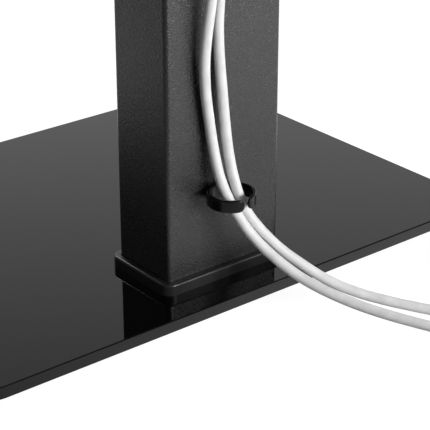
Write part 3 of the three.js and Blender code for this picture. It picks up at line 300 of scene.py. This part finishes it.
# Moulded PVC of the plugs: white, with a soft sheen.
WHITE_PLASTIC = surface(
    "white_moulded_pvc", ("dcdcda", "e8e8e6"), (0.36, 0.48), (17, 2), (0.53, 2, 0.12, 0.05)
)
# Moulded rubber: matte, dusty and slightly uneven.
RUBBER = surface("black_rubber", ("141414", "262626"), (0.8, 0.9), (1.1, 4), (1.1, 4, 0.25, 0.1))
# Zinc plate on turned and pressed steel: fine tool marks and a slightly cloudy shine.
ZINC = surface(
    "zinc_plated_steel", ("85888b", "b0b3b5"), (0.26, 0.38), (4.5, 3), (0.4, 2, 0.08, 0.05),
    {"Metallic": 1},
)
# Nickel plate on brass: a brighter, tighter shine than zinc.
NICKEL = surface(
    "nickel_plated_brass", ("a9aaa6", "cccdc9"), (0.12, 0.24), (4.5, 3), (0.4, 2, 0.08, 0.05),
    {"Metallic": 1},
)
# White PVC sheath: satin, faintly uneven from the extruder, and a little light comes through.
SHEATH = surface(
    "white_pvc_sheath", ("d6d6d6", "e4e4e4"), (0.42, 0.55), (8, 3), (8, 3, 0.06, 0.3),
    {"Subsurface Weight": 0.6, "Subsurface Radius": (1, 1, 1), "Subsurface Scale": 3 * MM},
)
# Hook-and-loop strap: a fuzzy black weave of threads 0.6 mm apart.
STRAP = surface(
    "hook_and_loop_fabric", ("0e0e0f", "2e2e30"), (0.9, 1), (0.6, 4), (0.6, 4, 0.7, 0.3),
    {"Sheen Weight": 0.25},
)

SLOT_MATERIALS = {
    "black_glass": GLASS,
    "black_rubber": RUBBER,
    "coated_steel": COAT,
    "zinc_steel": ZINC,
    "black_plastic": BLACK_PLASTIC,
    "white_nylon": NYLON,
    "white_pvc": WHITE_PLASTIC,
    "strap_fabric": STRAP,
    "nickel": NICKEL,
}


# Modelling helpers: a piece starts from a primitive and is shaped in edit mode


def deselect():
    """Leaves edit mode and clears the selection."""
    if bpy.context.mode == "EDIT_MESH":
        bpy.ops.object.mode_set(mode="OBJECT")
    bpy.ops.object.select_all(action="DESELECT")


def activate(piece):
    deselect()
    bpy.context.view_layer.objects.active = piece
    piece.select_set(True)


def started(name):
    """Names the new primitive and puts its place into its mesh."""
    piece = bpy.context.object
    piece.name = name
    bpy.ops.object.transform_apply(location=True, rotation=True, scale=True)
    return piece


def box(name, low, high):
    deselect()
    low, high = Vector(low), Vector(high)
    bpy.ops.mesh.primitive_cube_add(size=1, location=(low + high) / 2, scale=high - low)
    return started(name)


def rod(name, start, way, length, radius, sides=48):
    """A cylinder that starts at a place and goes along a way."""
    deselect()
    way = Vector(way).normalized()
    bpy.ops.mesh.primitive_cylinder_add(
        vertices=sides,
        radius=radius,
        depth=length,
        location=Vector(start) + way * length / 2,
        rotation=way.to_track_quat("Z", "Y").to_euler(),
    )
    return started(name)


def pick(piece, kind, wanted):
    """Selects the piece's wanted vertices, edges or faces, in edit mode."""
    if piece.mode != "EDIT":
        activate(piece)
        bpy.ops.object.mode_set(mode="EDIT")
    bpy.ops.mesh.select_mode(type=kind)
    bpy.ops.mesh.select_all(action="DESELECT")
    mesh = bmesh.from_edit_mesh(piece.data)
    items = {"VERT": mesh.verts, "EDGE": mesh.edges, "FACE": mesh.faces}[kind]
    for item in items:
        item.select_set(item.select or wanted(item))
    bmesh.update_edit_mesh(piece.data)


def anything(item):
    return True


def along(axis):
    """Wanted edges run along an axis, 0 to 2."""

    def wanted(edge):
        first, last = (vertex.co for vertex in edge.verts)
        return abs((last - first).normalized()[axis]) > STRAIGHT

    return wanted


def level(axis, value):
    """Wanted edges or faces have this value on an axis at every vertex."""
    return lambda item: all(abs(vertex.co[axis] - value) < HAIR for vertex in item.verts)


def round_edges(piece, wanted, radius, segments):
    pick(piece, "EDGE", wanted)
    bpy.ops.mesh.bevel(offset=radius, segments=segments, affect="EDGES")


def modify(piece, kind, **settings):
    """Adds a modifier with its settings and applies it."""
    activate(piece)
    modifier = piece.modifiers.new("shape", kind)
    for key, value in settings.items():
        setattr(modifier, key, value)
    bpy.ops.object.modifier_apply(modifier=modifier.name)


def combine(piece, operation, *others):
    """Cuts the others from the piece, or joins them to it, one after another."""
    for other in others:
        modify(piece, "BOOLEAN", operation=operation, object=other)
        bpy.data.objects.remove(other)


def soften(piece, width, segments=2, least=40):
    """Rounds each edge that turns by more than least degrees."""
    turn = math.radians(least)
    modify(piece, "BEVEL", width=width, segments=segments, limit_method="ANGLE", angle_limit=turn)


def finished(piece, node, material=None):
    """Shades a piece with its flat faces kept flat, gives it its finish and sets it for a node."""
    activate(piece)
    bpy.ops.object.shade_smooth_by_angle(angle=SMOOTH_ANGLE)
    modify(piece, "WEIGHTED_NORMAL", keep_sharp=True)
    piece.data.materials.clear()
    piece.data.materials.append(material or SLOT_MATERIALS[PARTS[node]["material_slot"]])
    return stands_for(piece, node)


def stands_for(piece, node):
    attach(piece, body_of(NODES[node])[0])
    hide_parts(node)
    return piece


def copied(piece, name, move):
    """A copy with a mesh of its own, moved."""
    activate(piece)
    bpy.ops.object.duplicate(linked=False)
    copy = bpy.context.object
    copy.name = name
    pick(copy, "VERT", anything)
    bpy.ops.transform.translate(value=move)
    activate(copy)
    return copy


def corners(node):
    low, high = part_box(node)
    return Vector(low), Vector(high)


# Pieces


def make_glass():
    """The plate, with wide corners, a polished arris above and below, and four bolt holes."""
    low, high = corners("glass_base")
    piece = box("glass_plate", low, high)
    round_edges(piece, along(2), GLASS_CORNER, segments=24)
    top, bottom = level(2, high.z), level(2, low.z)
    round_edges(piece, lambda edge: top(edge) or bottom(edge), GLASS_ARRIS, segments=3)
    through = high.z - low.z + 2 * HOLE_OVERRUN
    holes = []
    for k in range(4):
        bolt_low, bolt_high = corners(f"base_bolt_{k + 1}")
        start = (bolt_low + bolt_high) / 2
        start.z = low.z - HOLE_OVERRUN
        holes.append(rod("hole", start, (0, 0, 1), through, GLASS_HOLE / 2))
    combine(piece, "DIFFERENCE", *holes)
    finished(piece, "glass_base")
    piece.data.materials.append(EDGE)
    for face in piece.data.polygons:
        face.material_index = int(abs(face.normal.z) < GLASS_EDGE_SLOPE)
    return piece


def make_column():
    """The tube: rounded corners, bolt holes in front and the clips' holes at the rear."""
    low, high = corners("outer_column")
    piece = box("column_tube", low, high)
    round_edges(piece, along(2), COLUMN_CORNER, segments=10)
    pick(piece, "FACE", lambda face: abs(face.normal.z) > STRAIGHT)
    bpy.ops.mesh.delete(type="FACE")
    modify(piece, "SOLIDIFY", thickness=COLUMN_WALL, offset=-1, use_even_offset=True)
    depth = (high.y - low.y) / 2
    holes = []
    for node in ("lock_bolt_lower", "lock_bolt_upper"):
        z = sum(corners(node), Vector()).z / 2
        start = (0, low.y - HOLE_OVERRUN, z)
        holes.append(rod("hole", start, (0, 1, 0), depth, LOCK_HOLE / 2))
    for node in ("cable_clip_lower", "cable_clip_upper"):
        z = sum(corners(node), Vector()).z / 2
        start = (CLIP_X, high.y + HOLE_OVERRUN, z)
        holes.append(rod("hole", start, (0, -1, 0), depth, STUD_HOLE / 2))
    combine(piece, "DIFFERENCE", *holes)
    soften(piece, PLATE_EDGE)
    finished(piece, "outer_column")


def rounded_box(name, low, high, radius, segments):
    piece = box(name, low, high)
    round_edges(piece, along(2), radius, segments)
    return piece


def make_collar():
    """The cover round the column's foot: a thin shell with a rounded upper rim."""
    low, high = corners("foot_collar")
    tube_low, tube_high = corners("outer_column")
    piece = rounded_box("collar_cover", low, high, COLLAR_CORNER, segments=12)
    round_edges(piece, level(2, high.z), COLLAR_RIM, segments=4)
    wall = Vector((COLLAR_WALL, COLLAR_WALL, 0))
    rise = Vector((0, 0, HOLE_OVERRUN))
    ledge = Vector((0, 0, COLLAR_LEDGE))
    inner_corner = COLLAR_CORNER - COLLAR_WALL
    hollow = rounded_box(
        "hollow", low + wall - rise, high - wall - ledge, inner_corner, segments=8
    )
    gap = Vector((FIT_GAP, FIT_GAP, 0))
    throat_low = Vector((tube_low.x, tube_low.y, low.z)) - gap - rise
    throat_high = Vector((tube_high.x, tube_high.y, high.z)) + gap + rise
    throat_corner = COLUMN_CORNER + FIT_GAP
    throat = rounded_box("throat", throat_low, throat_high, throat_corner, segments=10)
    combine(piece, "DIFFERENCE", hollow, throat)
    finished(piece, "foot_collar")


def make_clips():
    """The cable clips: a strip with rounded ends, bent round to an open ring, a pad and a stud."""
    low, high = corners("cable_clip_lower")
    half = Vector((0, 0, (high.z - low.z) / 2))
    wall = Vector((0, CLIP_WALL / 2, 0))
    neutral = CLIP_RADIUS - CLIP_WALL / 2
    sweep = 2 * math.pi - 2 * math.asin(CLIP_GAP / 2 / CLIP_RADIUS)
    reach = Vector((neutral * sweep / 2, 0, 0))
    trim = Vector((0, 0, CLIP_TRIM))
    piece = box("clip_lower", -reach - wall - half + trim, reach + wall + half)
    round_edges(piece, along(1), CLIP_TIP, segments=10)
    rims = [level(1, -wall.y), level(1, wall.y)]
    round_edges(piece, lambda edge: rims[0](edge) or rims[1](edge), CLIP_EDGE, segments=4)
    for k in range(1, CLIP_STEPS):
        pick(piece, "FACE", anything)
        place = reach * (2 * k / CLIP_STEPS - 1)
        bpy.ops.mesh.bisect(plane_co=place, plane_no=(1, 0, 0))
    modify(piece, "SIMPLE_DEFORM", deform_method="BEND", deform_axis="Z", angle=sweep)
    pad_half = Vector((CLIP_PAD / 2, 0, 0))
    pad = box("pad", -pad_half - wall - half, pad_half + wall + half)
    round_edges(pad, along(2), CLIP_EDGE / 2, segments=2)
    length = CLIP_WALL / 2 + STUD_LENGTH
    stud = rod("stud", (0, 0, 0), (0, -1, 0), length, STUD / 2, sides=24)
    combine(piece, "UNION", pad, stud)
    place = Vector((CLIP_X, corners("outer_column")[1].y + CLIP_WALL / 2, (low.z + high.z) / 2))
    pick(piece, "VERT", anything)
    bpy.ops.transform.translate(value=place)
    finished(piece, "cable_clip_lower", CLIP_PLASTIC)
    rise = corners("cable_clip_upper")[0] - low
    stands_for(copied(piece, "clip_upper", rise), "cable_clip_upper")


def slot_cutter(low, high, axis):
    """A block whose ends are half round, to cut a slot through a plate along an axis."""
    piece = box("slot", low, high)
    width = min(b - a for k, (a, b) in enumerate(zip(low, high)) if k != axis)
    round_edges(piece, along(axis), width / 2 - HAIR, segments=10)
    return piece


def make_cross_plate():
    """The cross plate: rounded corners, four long slots, a round window and two bored ears."""
    low, high = corners("cross_plate")
    middle = (low + high) / 2
    axis = Vector((0, high.y - EAR_RADIUS, middle.z))
    rear = low.y + CROSS_STEEL
    piece = box("cross_plate_steel", low, (high.x, rear, high.z))
    round_edges(piece, along(1), CROSS_CORNER, segments=10)
    root = low.y + CROSS_STEEL / 2
    half = EAR_ROOT / 2
    ears = []
    for x in (EAR_INSIDE, -EAR_INSIDE - EAR_STEEL):
        ear = box("ear", (x, root, axis.z - half), (x + EAR_STEEL, axis.y, axis.z + half))
        pick(ear, "FACE", level(1, axis.y))
        bpy.ops.transform.resize(value=(1, 1, EAR_RADIUS / half), center_override=axis)
        ears += [ear, rod("ear_end", (x, axis.y, axis.z), (1, 0, 0), EAR_STEEL, EAR_RADIUS)]
    combine(piece, "UNION", *ears)
    front = Vector((0, low.y - HOLE_OVERRUN, middle.z))
    through = CROSS_STEEL + 2 * HOLE_OVERRUN
    cutters = [rod("window", front, (0, 1, 0), through, CROSS_WINDOW / 2, sides=96)]
    half = Vector((CROSS_SLOT / 2, 0, CROSS_SLOT_WIDTH / 2))
    for x in (CROSS_SLOT_X, -CROSS_SLOT_X):
        for z in (CROSS_SLOT_Z, -CROSS_SLOT_Z):
            place = front + Vector((x, 0, z))
            cutters.append(slot_cutter(place - half, place + half + Vector((0, through, 0)), 1))
    reach = EAR_INSIDE + EAR_STEEL + HOLE_OVERRUN
    cutters.append(rod("bore", axis - Vector((reach, 0, 0)), (1, 0, 0), 2 * reach, TILT_HOLE / 2))
    combine(piece, "DIFFERENCE", *cutters)
    soften(piece, PLATE_EDGE)
    finished(piece, "cross_plate")


def make_arms():
    """The arms: a slotted channel with hooks over the cross plate and a heel with a screw's bar."""
    low, high = corners("arm_left")
    cross_low, cross_high = corners("cross_plate")
    x, z = (low.x + high.x) / 2, (low.z + high.z) / 2
    front, rear = low.y, cross_low.y - FIT_GAP
    behind = cross_low.y + CROSS_STEEL + FIT_GAP
    piece = box("arm_left_steel", low, (high.x, rear, high.z))
    round_edges(piece, along(1), ARM_END, segments=10)
    inside_low = (low.x + ARM_STEEL, front + ARM_STEEL, low.z - HOLE_OVERRUN)
    inside_high = (high.x - ARM_STEEL, rear + HOLE_OVERRUN, high.z + HOLE_OVERRUN)
    combine(piece, "DIFFERENCE", box("inside", inside_low, inside_high))
    top, side = cross_high.z, low.x + ARM_STEEL
    inner = front + ARM_STEEL
    crown = box("hook_crown", (low.x, inner, top + FIT_GAP), (side, high.y, top + HOOK_CROWN))
    pick(crown, "EDGE", lambda edge: level(1, high.y)(edge) and level(2, top + HOOK_CROWN)(edge))
    bpy.ops.transform.translate(value=(0, behind - high.y, 0))
    leg = box("hook_leg", (low.x, behind, top - HOOK_DROP), (side, high.y, top + FIT_GAP + HAIR))
    heel_top = cross_low.z - HEEL_DROP + HEEL_HEIGHT
    foot = heel_top - HEEL_HEIGHT
    heel = box("heel", (low.x, inner, foot), (side, high.y, heel_top))
    cheeks = [crown, leg, heel]
    across = Vector((ARM_WIDTH - ARM_STEEL, 0, 0))
    cheeks += [copied(cheek, cheek.name + "_right", across) for cheek in cheeks]
    bar_low = (low.x + ARM_STEEL / 2, high.y - HEEL_BAR, foot)
    bar_high = (high.x - ARM_STEEL / 2, high.y, foot + HEEL_BAR_STEEL)
    combine(piece, "UNION", *cheeks, box("heel_bar", bar_low, bar_high))
    half = ARM_SLOT_WIDTH / 2
    cutters = []
    for start, length in ARM_SLOTS:
        for way in (-1, 1):
            ends = sorted((z + way * start, z + way * (start + length)))
            slot_low = Vector((x - half, front - HOLE_OVERRUN, ends[0]))
            slot_high = Vector((x + half, front + ARM_STEEL + HOLE_OVERRUN, ends[1]))
            cutters.append(slot_cutter(slot_low, slot_high, 1))
    hole_place = (x, cross_low.y + CROSS_STEEL + HOOK_REACH / 2, foot - HOLE_OVERRUN)
    through = HEEL_BAR_STEEL + 2 * HOLE_OVERRUN
    cutters.append(rod("screw_hole", hole_place, (0, 0, 1), through, ARM_SCREW_HOLE / 2))
    combine(piece, "DIFFERENCE", *cutters)
    soften(piece, PLATE_EDGE)
    finished(piece, "arm_left")
    stands_for(copied(piece, "arm_right_steel", corners("arm_right")[0] - low), "arm_right")


def make_socket_bolt(node, axis, head, height, shank, flange):
    """A bolt with a rounded head, a hex socket, a shank and, where it has one, a flange."""
    low, high = corners(node)
    way = Vector()
    way[axis] = 1
    start = (low + high) / 2
    start[axis] = low[axis]
    piece = rod(f"{node}_round", start, way, height, head / 2)
    round_edges(piece, level(axis, low[axis]), HEAD_ROUND, segments=4)
    depth = HOLE_OVERRUN + SOCKET_DEPTH
    mouth = start - way * HOLE_OVERRUN
    socket = rod("socket", mouth, way, depth, SOCKET_ACROSS / math.sqrt(3), sides=6)
    combine(piece, "DIFFERENCE", socket)
    seat = height - HAIR
    rods = [rod("shank", start + way * seat, way, high[axis] - low[axis] - seat, shank / 2)]
    if flange:
        rods.append(rod("flange", start + way * seat, way, FLANGE_STEEL + HAIR, flange / 2))
    combine(piece, "UNION", *rods)
    soften(piece, HEAD_RIM)
    finished(piece, node)


def soft_copy(node, width):
    """A copy of a node's solid, merged, with its sharp edges rounded as tools leave them."""
    copy = copied(NODES[node], f"{node}_finish", (0, 0, 0))
    pick(copy, "VERT", anything)
    bpy.ops.mesh.remove_doubles(threshold=HAIR)
    bpy.ops.mesh.dissolve_limited(angle_limit=MERGE_ANGLE)
    soften(copy, width)
    return finished(copy, node)


def finish_nodes():
    """Gives the frame's nodes their materials, and smooths them across their shallow edges."""
    for name, part in PARTS.items():
        node = NODES[name]
        node.data.materials.clear()
        node.data.materials.append(SLOT_MATERIALS[part["material_slot"]])
        deselect()
        bpy.context.view_layer.objects.active = node
        node.select_set(True)
        bpy.ops.object.shade_smooth_by_angle(angle=SMOOTH_ANGLE)


finish_nodes()

glass = make_glass()
make_column()
make_collar()
make_clips()
make_cross_plate()
make_arms()
for name, sizes in SOCKET_BOLTS.items():
    make_socket_bolt(name, *sizes)
softened = {name: soft_copy(name, width) for name, width in SOFT_EDGES.items()}

# Leads: the routes are the same as those of the frame's solids

LEAD = 0.0065
COIL_RADIUS = 0.044
COIL_PITCH = 0.0072
COIL_TURNS = 5
COIL_STEPS = 24
COIL_CLIMB = 0.4
COIL_TAIL = 0.078
COIL_FLOOR = 0.00455
TAIL_SHARES = (0.12, 0.24, 0.38, 0.52, 0.66, 0.8, 0.9, 1)
TAIL_DROPS = (0, 0.04, 0.2, 0.5, 0.8, 0.97, 1, 1)
ROUTE_STEPS = 8
TURN_STEPS = 3
SHEATH_ROUNDING = 6

# Each coil's middle, the angle at which the lead enters it, the way it turns and its tail's height
POWER_COIL = ((-0.0652, 0.3274), 213.8, -1, 0.0068)
AERIAL_COIL = ((-0.1539, 0.2452), 42.5, 1, 0.0065)
POWER_ROUTE = [
    (0.0175, 0.1986, 0.291), (0.0175, 0.1986, 0.314), (0.0175, 0.1986, 0.337),
    (0.0172, 0.1963, 0.3486), (0.0165, 0.1897, 0.3585), (0.0154, 0.1799, 0.365),
    (0.0142, 0.1682, 0.3674), (0.0131, 0.1566, 0.365), (0.012, 0.1468, 0.3585),
    (0.0113, 0.1402, 0.3486), (0.011, 0.1379, 0.337), (0.0109, 0.1376, 0.321), (0.011, 0.1354, 0.3),
    (0.012, 0.1332, 0.275), (0.0136, 0.1318, 0.25), (0.0154, 0.1308, 0.225), (0.0169, 0.13, 0.1992),
    (0.0186, 0.1285, 0.1814), (0.0198, 0.1275, 0.1633), (0.0187, 0.1267, 0.1445),
    (0.0159, 0.1265, 0.125), (0.0133, 0.1276, 0.1055), (0.0118, 0.1315, 0.089),
    (0.0096, 0.1383, 0.075), (0.006, 0.1436, 0.0645), (0.002, 0.1484, 0.0556),
    (-0.005, 0.1587, 0.0436), (-0.0156, 0.1744, 0.0307), (-0.0261, 0.19, 0.0225),
    (-0.0365, 0.2055, 0.0169), (-0.0467, 0.2208, 0.0132), (-0.0603, 0.2409, 0.0098),
    (-0.0714, 0.2575, 0.0076), (-0.0814, 0.2725, 0.006), (-0.0903, 0.2858, 0.0049),
]
AERIAL_ROUTE = [
    (-0.0035, 0.199, 0.289), (-0.0035, 0.199, 0.3095), (-0.0035, 0.199, 0.33),
    (-0.0032, 0.1967, 0.3414), (-0.0025, 0.1903, 0.351), (-0.0014, 0.1806, 0.3575),
    (-0.0002, 0.1692, 0.3598), (0.0009, 0.1579, 0.3575), (0.002, 0.1482, 0.351),
    (0.0027, 0.1418, 0.3414), (0.003, 0.1395, 0.33), (0.0032, 0.1372, 0.316),
    (0.0037, 0.1346, 0.303), (0.0048, 0.1315, 0.28), (0.0058, 0.129, 0.255),
    (0.0066, 0.1268, 0.226), (0.0072, 0.1253, 0.1961), (0.0082, 0.1255, 0.1784),
    (0.0077, 0.1261, 0.1603), (0.0065, 0.127, 0.1417), (0.0053, 0.128, 0.1228),
    (0.0041, 0.1299, 0.1038), (0.0035, 0.1343, 0.0876), (0.0023, 0.1394, 0.075),
    (-0.0006, 0.143, 0.066), (-0.0057, 0.1485, 0.0561), (-0.014, 0.1576, 0.0439),
    (-0.0224, 0.1667, 0.0349), (-0.0349, 0.1805, 0.0237), (-0.0474, 0.1941, 0.017),
    (-0.0598, 0.2077, 0.0129), (-0.0763, 0.2257, 0.009), (-0.0885, 0.239, 0.007),
    (-0.0993, 0.2508, 0.0056), (-0.1085, 0.2608, 0.0048),
]


def smooth_line(points, steps):
    """A centripetal Catmull-Rom line through the points, with steps places on each stretch."""
    points = [Vector(p) for p in points]
    first = points[0] * 2 - points[1]
    last = points[-1] * 2 - points[-2]
    ends = [first] + points + [last]
    line = []
    for k in range(1, len(ends) - 2):
        a, b, c, d = ends[k - 1 : k + 3]
        knots = [0.0]
        for one, two in ((a, b), (b, c), (c, d)):
            knots.append(knots[-1] + math.sqrt(max((two - one).length, 1e-7)))
        for step in range(steps):
            t = knots[1] + (knots[2] - knots[1]) * step / steps
            line.append(between_knots(a, b, c, d, knots, t))
    line.append(points[-1])
    return line


def between_knots(a, b, c, d, knots, t):
    """The place at t on the stretch from b to c."""

    def mix(p, q, start, end):
        return p * ((end - t) / (end - start)) + q * ((t - start) / (end - start))

    ab = mix(a, b, knots[0], knots[1])
    bc = mix(b, c, knots[1], knots[2])
    cd = mix(c, d, knots[2], knots[3])
    abc = mix(ab, bc, knots[0], knots[2])
    bcd = mix(bc, cd, knots[1], knots[3])
    return mix(abc, bcd, knots[1], knots[2])


def coil_and_tail(middle, entry, turn, end_height):
    """A coil's turns and the tail that leaves it, as places."""
    angle = math.radians(entry)
    out = Vector((math.cos(angle), math.sin(angle), 0))
    along = Vector((-turn * out.y, turn * out.x, 0))
    centre = Vector((middle[0], middle[1], 0))
    start = centre + out * COIL_RADIUS + Vector((0, 0, COIL_FLOOR))
    places = [start - along * LEAD, start - along * LEAD / 2]
    for k in range(COIL_TURNS * COIL_STEPS + 1):
        turns = k / COIL_STEPS
        share = min(max((turns - COIL_TURNS / 2 + COIL_CLIMB) / (2 * COIL_CLIMB), 0), 1)
        climb = share * share * (3 - 2 * share)
        reach = COIL_RADIUS - COIL_PITCH * (COIL_TURNS / 2 - abs(turns - COIL_TURNS / 2))
        at = angle + turn * turns * 2 * math.pi
        place = centre + Vector((math.cos(at), math.sin(at), 0)) * reach
        place.z = COIL_FLOOR + climb * COIL_PITCH
        places.append(place)
    top = COIL_FLOOR + COIL_PITCH
    for share, drop in zip(TAIL_SHARES, TAIL_DROPS):
        place = start + along * share * COIL_TAIL
        place.z = top + (end_height - top) * drop
        places.append(place)
    return places


def lead_piece(name, route, coil, replaced):
    """A lead's sheath as a curve along its route and through its coil, its length and its line."""
    turns = coil_and_tail(*coil)
    free = smooth_line(list(route) + [turns[0]], ROUTE_STEPS)
    line = free[:-1] + smooth_line(turns, TURN_STEPS)
    curve = bpy.data.curves.new(name, "CURVE")
    curve.dimensions = "3D"
    curve.bevel_depth = LEAD / 2
    curve.bevel_resolution = SHEATH_ROUNDING
    curve.use_fill_caps = True
    spline = curve.splines.new("POLY")
    spline.points.add(len(line) - 1)
    for point, place in zip(spline.points, line):
        point.co = (*place, 1)
    spline.use_smooth = True
    lead = bpy.data.objects.new(name, curve)
    bpy.context.scene.collection.objects.link(lead)
    curve.materials.append(SHEATH)
    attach(lead, "stand")
    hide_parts(*replaced)
    length = sum((b - a).length for a, b in zip(line, line[1:]))
    return lead, length, line


power_sheath, power_length, power_line = lead_piece(
    "power_sheath", POWER_ROUTE, POWER_COIL, ("power_lead", "power_lead_coil")
)
aerial_sheath, aerial_length, aerial_line = lead_piece(
    "aerial_sheath", AERIAL_ROUTE, AERIAL_COIL, ("aerial_lead", "aerial_lead_coil")
)

# Floor, world and lamps

FLOOR_SIZE = 16
FLOOR_DROP = 0.0002
FLOOR_GLOW = 0.9
# The floor's painted glow that only mirrored rays see: full towards -X, away from the camera, and
# none on the camera's side
MIRROR_GLOW_WAY = (-0.8, -0.2, 0)
MIRROR_GLOW_FADE = {"From Min": -0.35, "From Max": 0.1}
SWEEP_WAY = (-0.63, -0.77, 0)
SWEEP_FADE = {"From Min": 0.3, "From Max": 0.9}
ROOM_LEVEL = 0.2
SEEN_SKY = (1, 1, 1, 1)

# Height of the way a mirrored ray goes, and the sky's grey there
SKY_LOW = (0.2, (1, 1, 1, 1))
SKY_MIDDLE = (0.52, (0.5, 0.5, 0.5, 1))
SKY_HIGH = (0.95, (0.42, 0.42, 0.42, 1))


def make_floor():
    """Pale paper. It glows evenly to the camera, and mirrored rays see a painted glow on it,
    strongest at the end beyond the object.
    """
    deselect()
    bpy.ops.mesh.primitive_plane_add(size=FLOOR_SIZE, location=(0, 0, -FLOOR_DROP))
    floor = bpy.context.object
    floor.name = "floor"
    material = bpy.data.materials.new("pale_floor")
    material.use_nodes = True
    tree = material.node_tree
    tree.nodes.clear()
    rays = add(tree, "ShaderNodeLightPath").outputs
    pair = {0: rays["Is Glossy Ray"], 1: rays["Is Transmission Ray"]}
    mirrored = add(tree, "ShaderNodeMath", pair, operation="MAXIMUM").outputs[0]
    shown = {0: rays["Is Camera Ray"], 1: FLOOR_GLOW}
    shown = add(tree, "ShaderNodeMath", shown, operation="MULTIPLY").outputs[0]
    place = add(tree, "ShaderNodeTexCoord").outputs["Object"]
    # Painted glow for mirrored rays only, fading out towards the camera's side, so that the column
    # mirrors a brighter floor beyond it
    beyond = add(tree, "ShaderNodeVectorMath", {0: place, 1: MIRROR_GLOW_WAY}, operation="DOT_PRODUCT")
    reach = {"Value": beyond.outputs["Value"], **MIRROR_GLOW_FADE}
    mirror_glow = add(tree, "ShaderNodeMapRange", reach).outputs["Result"]
    mirror_glow = add(tree, "ShaderNodeMath", {0: mirrored, 1: mirror_glow}, operation="MULTIPLY").outputs[0]
    strength = add(tree, "ShaderNodeMath", {0: shown, 1: mirror_glow}, operation="ADD").outputs[0]
    glow = add(tree, "ShaderNodeEmission", {"Color": (1, 1, 1, 1), "Strength": strength})
    paper = add(tree, "ShaderNodeBsdfDiffuse", {"Color": linear("a0a0a0")})
    both = add(tree, "ShaderNodeAddShader", {0: glow.outputs[0], 1: paper.outputs[0]})
    add(tree, "ShaderNodeOutputMaterial", {"Surface": both.outputs[0]})
    floor.data.materials.append(material)


def make_world():
    """A studio: a white sweep beyond the object, greyer overhead and dim behind the camera."""
    world = bpy.data.worlds.new("studio")
    bpy.context.scene.world = world
    world.use_nodes = True
    tree = world.node_tree
    tree.nodes.clear()
    way = add(tree, "ShaderNodeTexCoord").outputs["Generated"]
    height = add(tree, "ShaderNodeSeparateXYZ", {"Vector": way}).outputs["Z"]
    tone = add(tree, "ShaderNodeValToRGB", {"Fac": height})
    stops = tone.color_ramp.elements
    stops[0].position, stops[0].color = SKY_LOW
    stops[1].position, stops[1].color = SKY_HIGH
    position, colour = SKY_MIDDLE
    stops.new(position).color = colour
    beyond = add(tree, "ShaderNodeVectorMath", {0: way, 1: SWEEP_WAY}, operation="DOT_PRODUCT")
    reach = {"Value": beyond.outputs["Value"], **SWEEP_FADE, "To Min": ROOM_LEVEL}
    share = add(tree, "ShaderNodeMapRange", reach).outputs["Result"]
    seen = add(tree, "ShaderNodeLightPath").outputs["Is Camera Ray"]
    tones = {"Factor": seen, 6: tone.outputs["Color"], 7: SEEN_SKY}
    colour = add(tree, "ShaderNodeMix", tones, data_type="RGBA").outputs[2]
    strength = add(tree, "ShaderNodeMath", {0: share, 1: seen}, operation="MAXIMUM").outputs[0]
    shade = add(tree, "ShaderNodeBackground", {"Color": colour, "Strength": strength})
    add(tree, "ShaderNodeOutputWorld", {"Surface": shade.outputs[0]})


def add_lamp(name, place, target, size, power):
    data = bpy.data.lights.new(name, "AREA")
    data.shape = "RECTANGLE"
    data.size, data.size_y = size
    data.energy = power
    lamp = bpy.data.objects.new(name, data)
    bpy.context.scene.collection.objects.link(lamp)
    lamp.location = place
    lamp.rotation_euler = (Vector(target) - Vector(place)).to_track_quat("-Z", "Y").to_euler()
    return lamp


def leave_unlit(lamp, piece):
    """Leaves a polished piece out of a lamp's light, and so the lamp out of its mirror image."""
    group = bpy.data.collections.new(f"{lamp.name}_leaves_out")
    group.objects.link(piece)
    group.collection_objects[0].light_linking.link_state = "EXCLUDE"
    lamp.light_linking.receiver_collection = group


make_floor()
make_world()
key_lamp = add_lamp(
    "key_lamp", place=(-0.45, 1.9, 0.5), target=(0, 0.12, 0.12), size=(0.9, 0.5), power=40
)
leave_unlit(key_lamp, glass)
add_lamp("top_lamp", place=(-0.5, 0.3, 2.4), target=(0, 0, 0.1), size=(1.6, 1.6), power=3)
add_lamp("front_lamp", place=(-0.45, -2, 2), target=(0, 0, 0.4), size=(0.8, 0.8), power=22)

scene = bpy.context.scene
scene.view_settings.view_transform = "Standard"
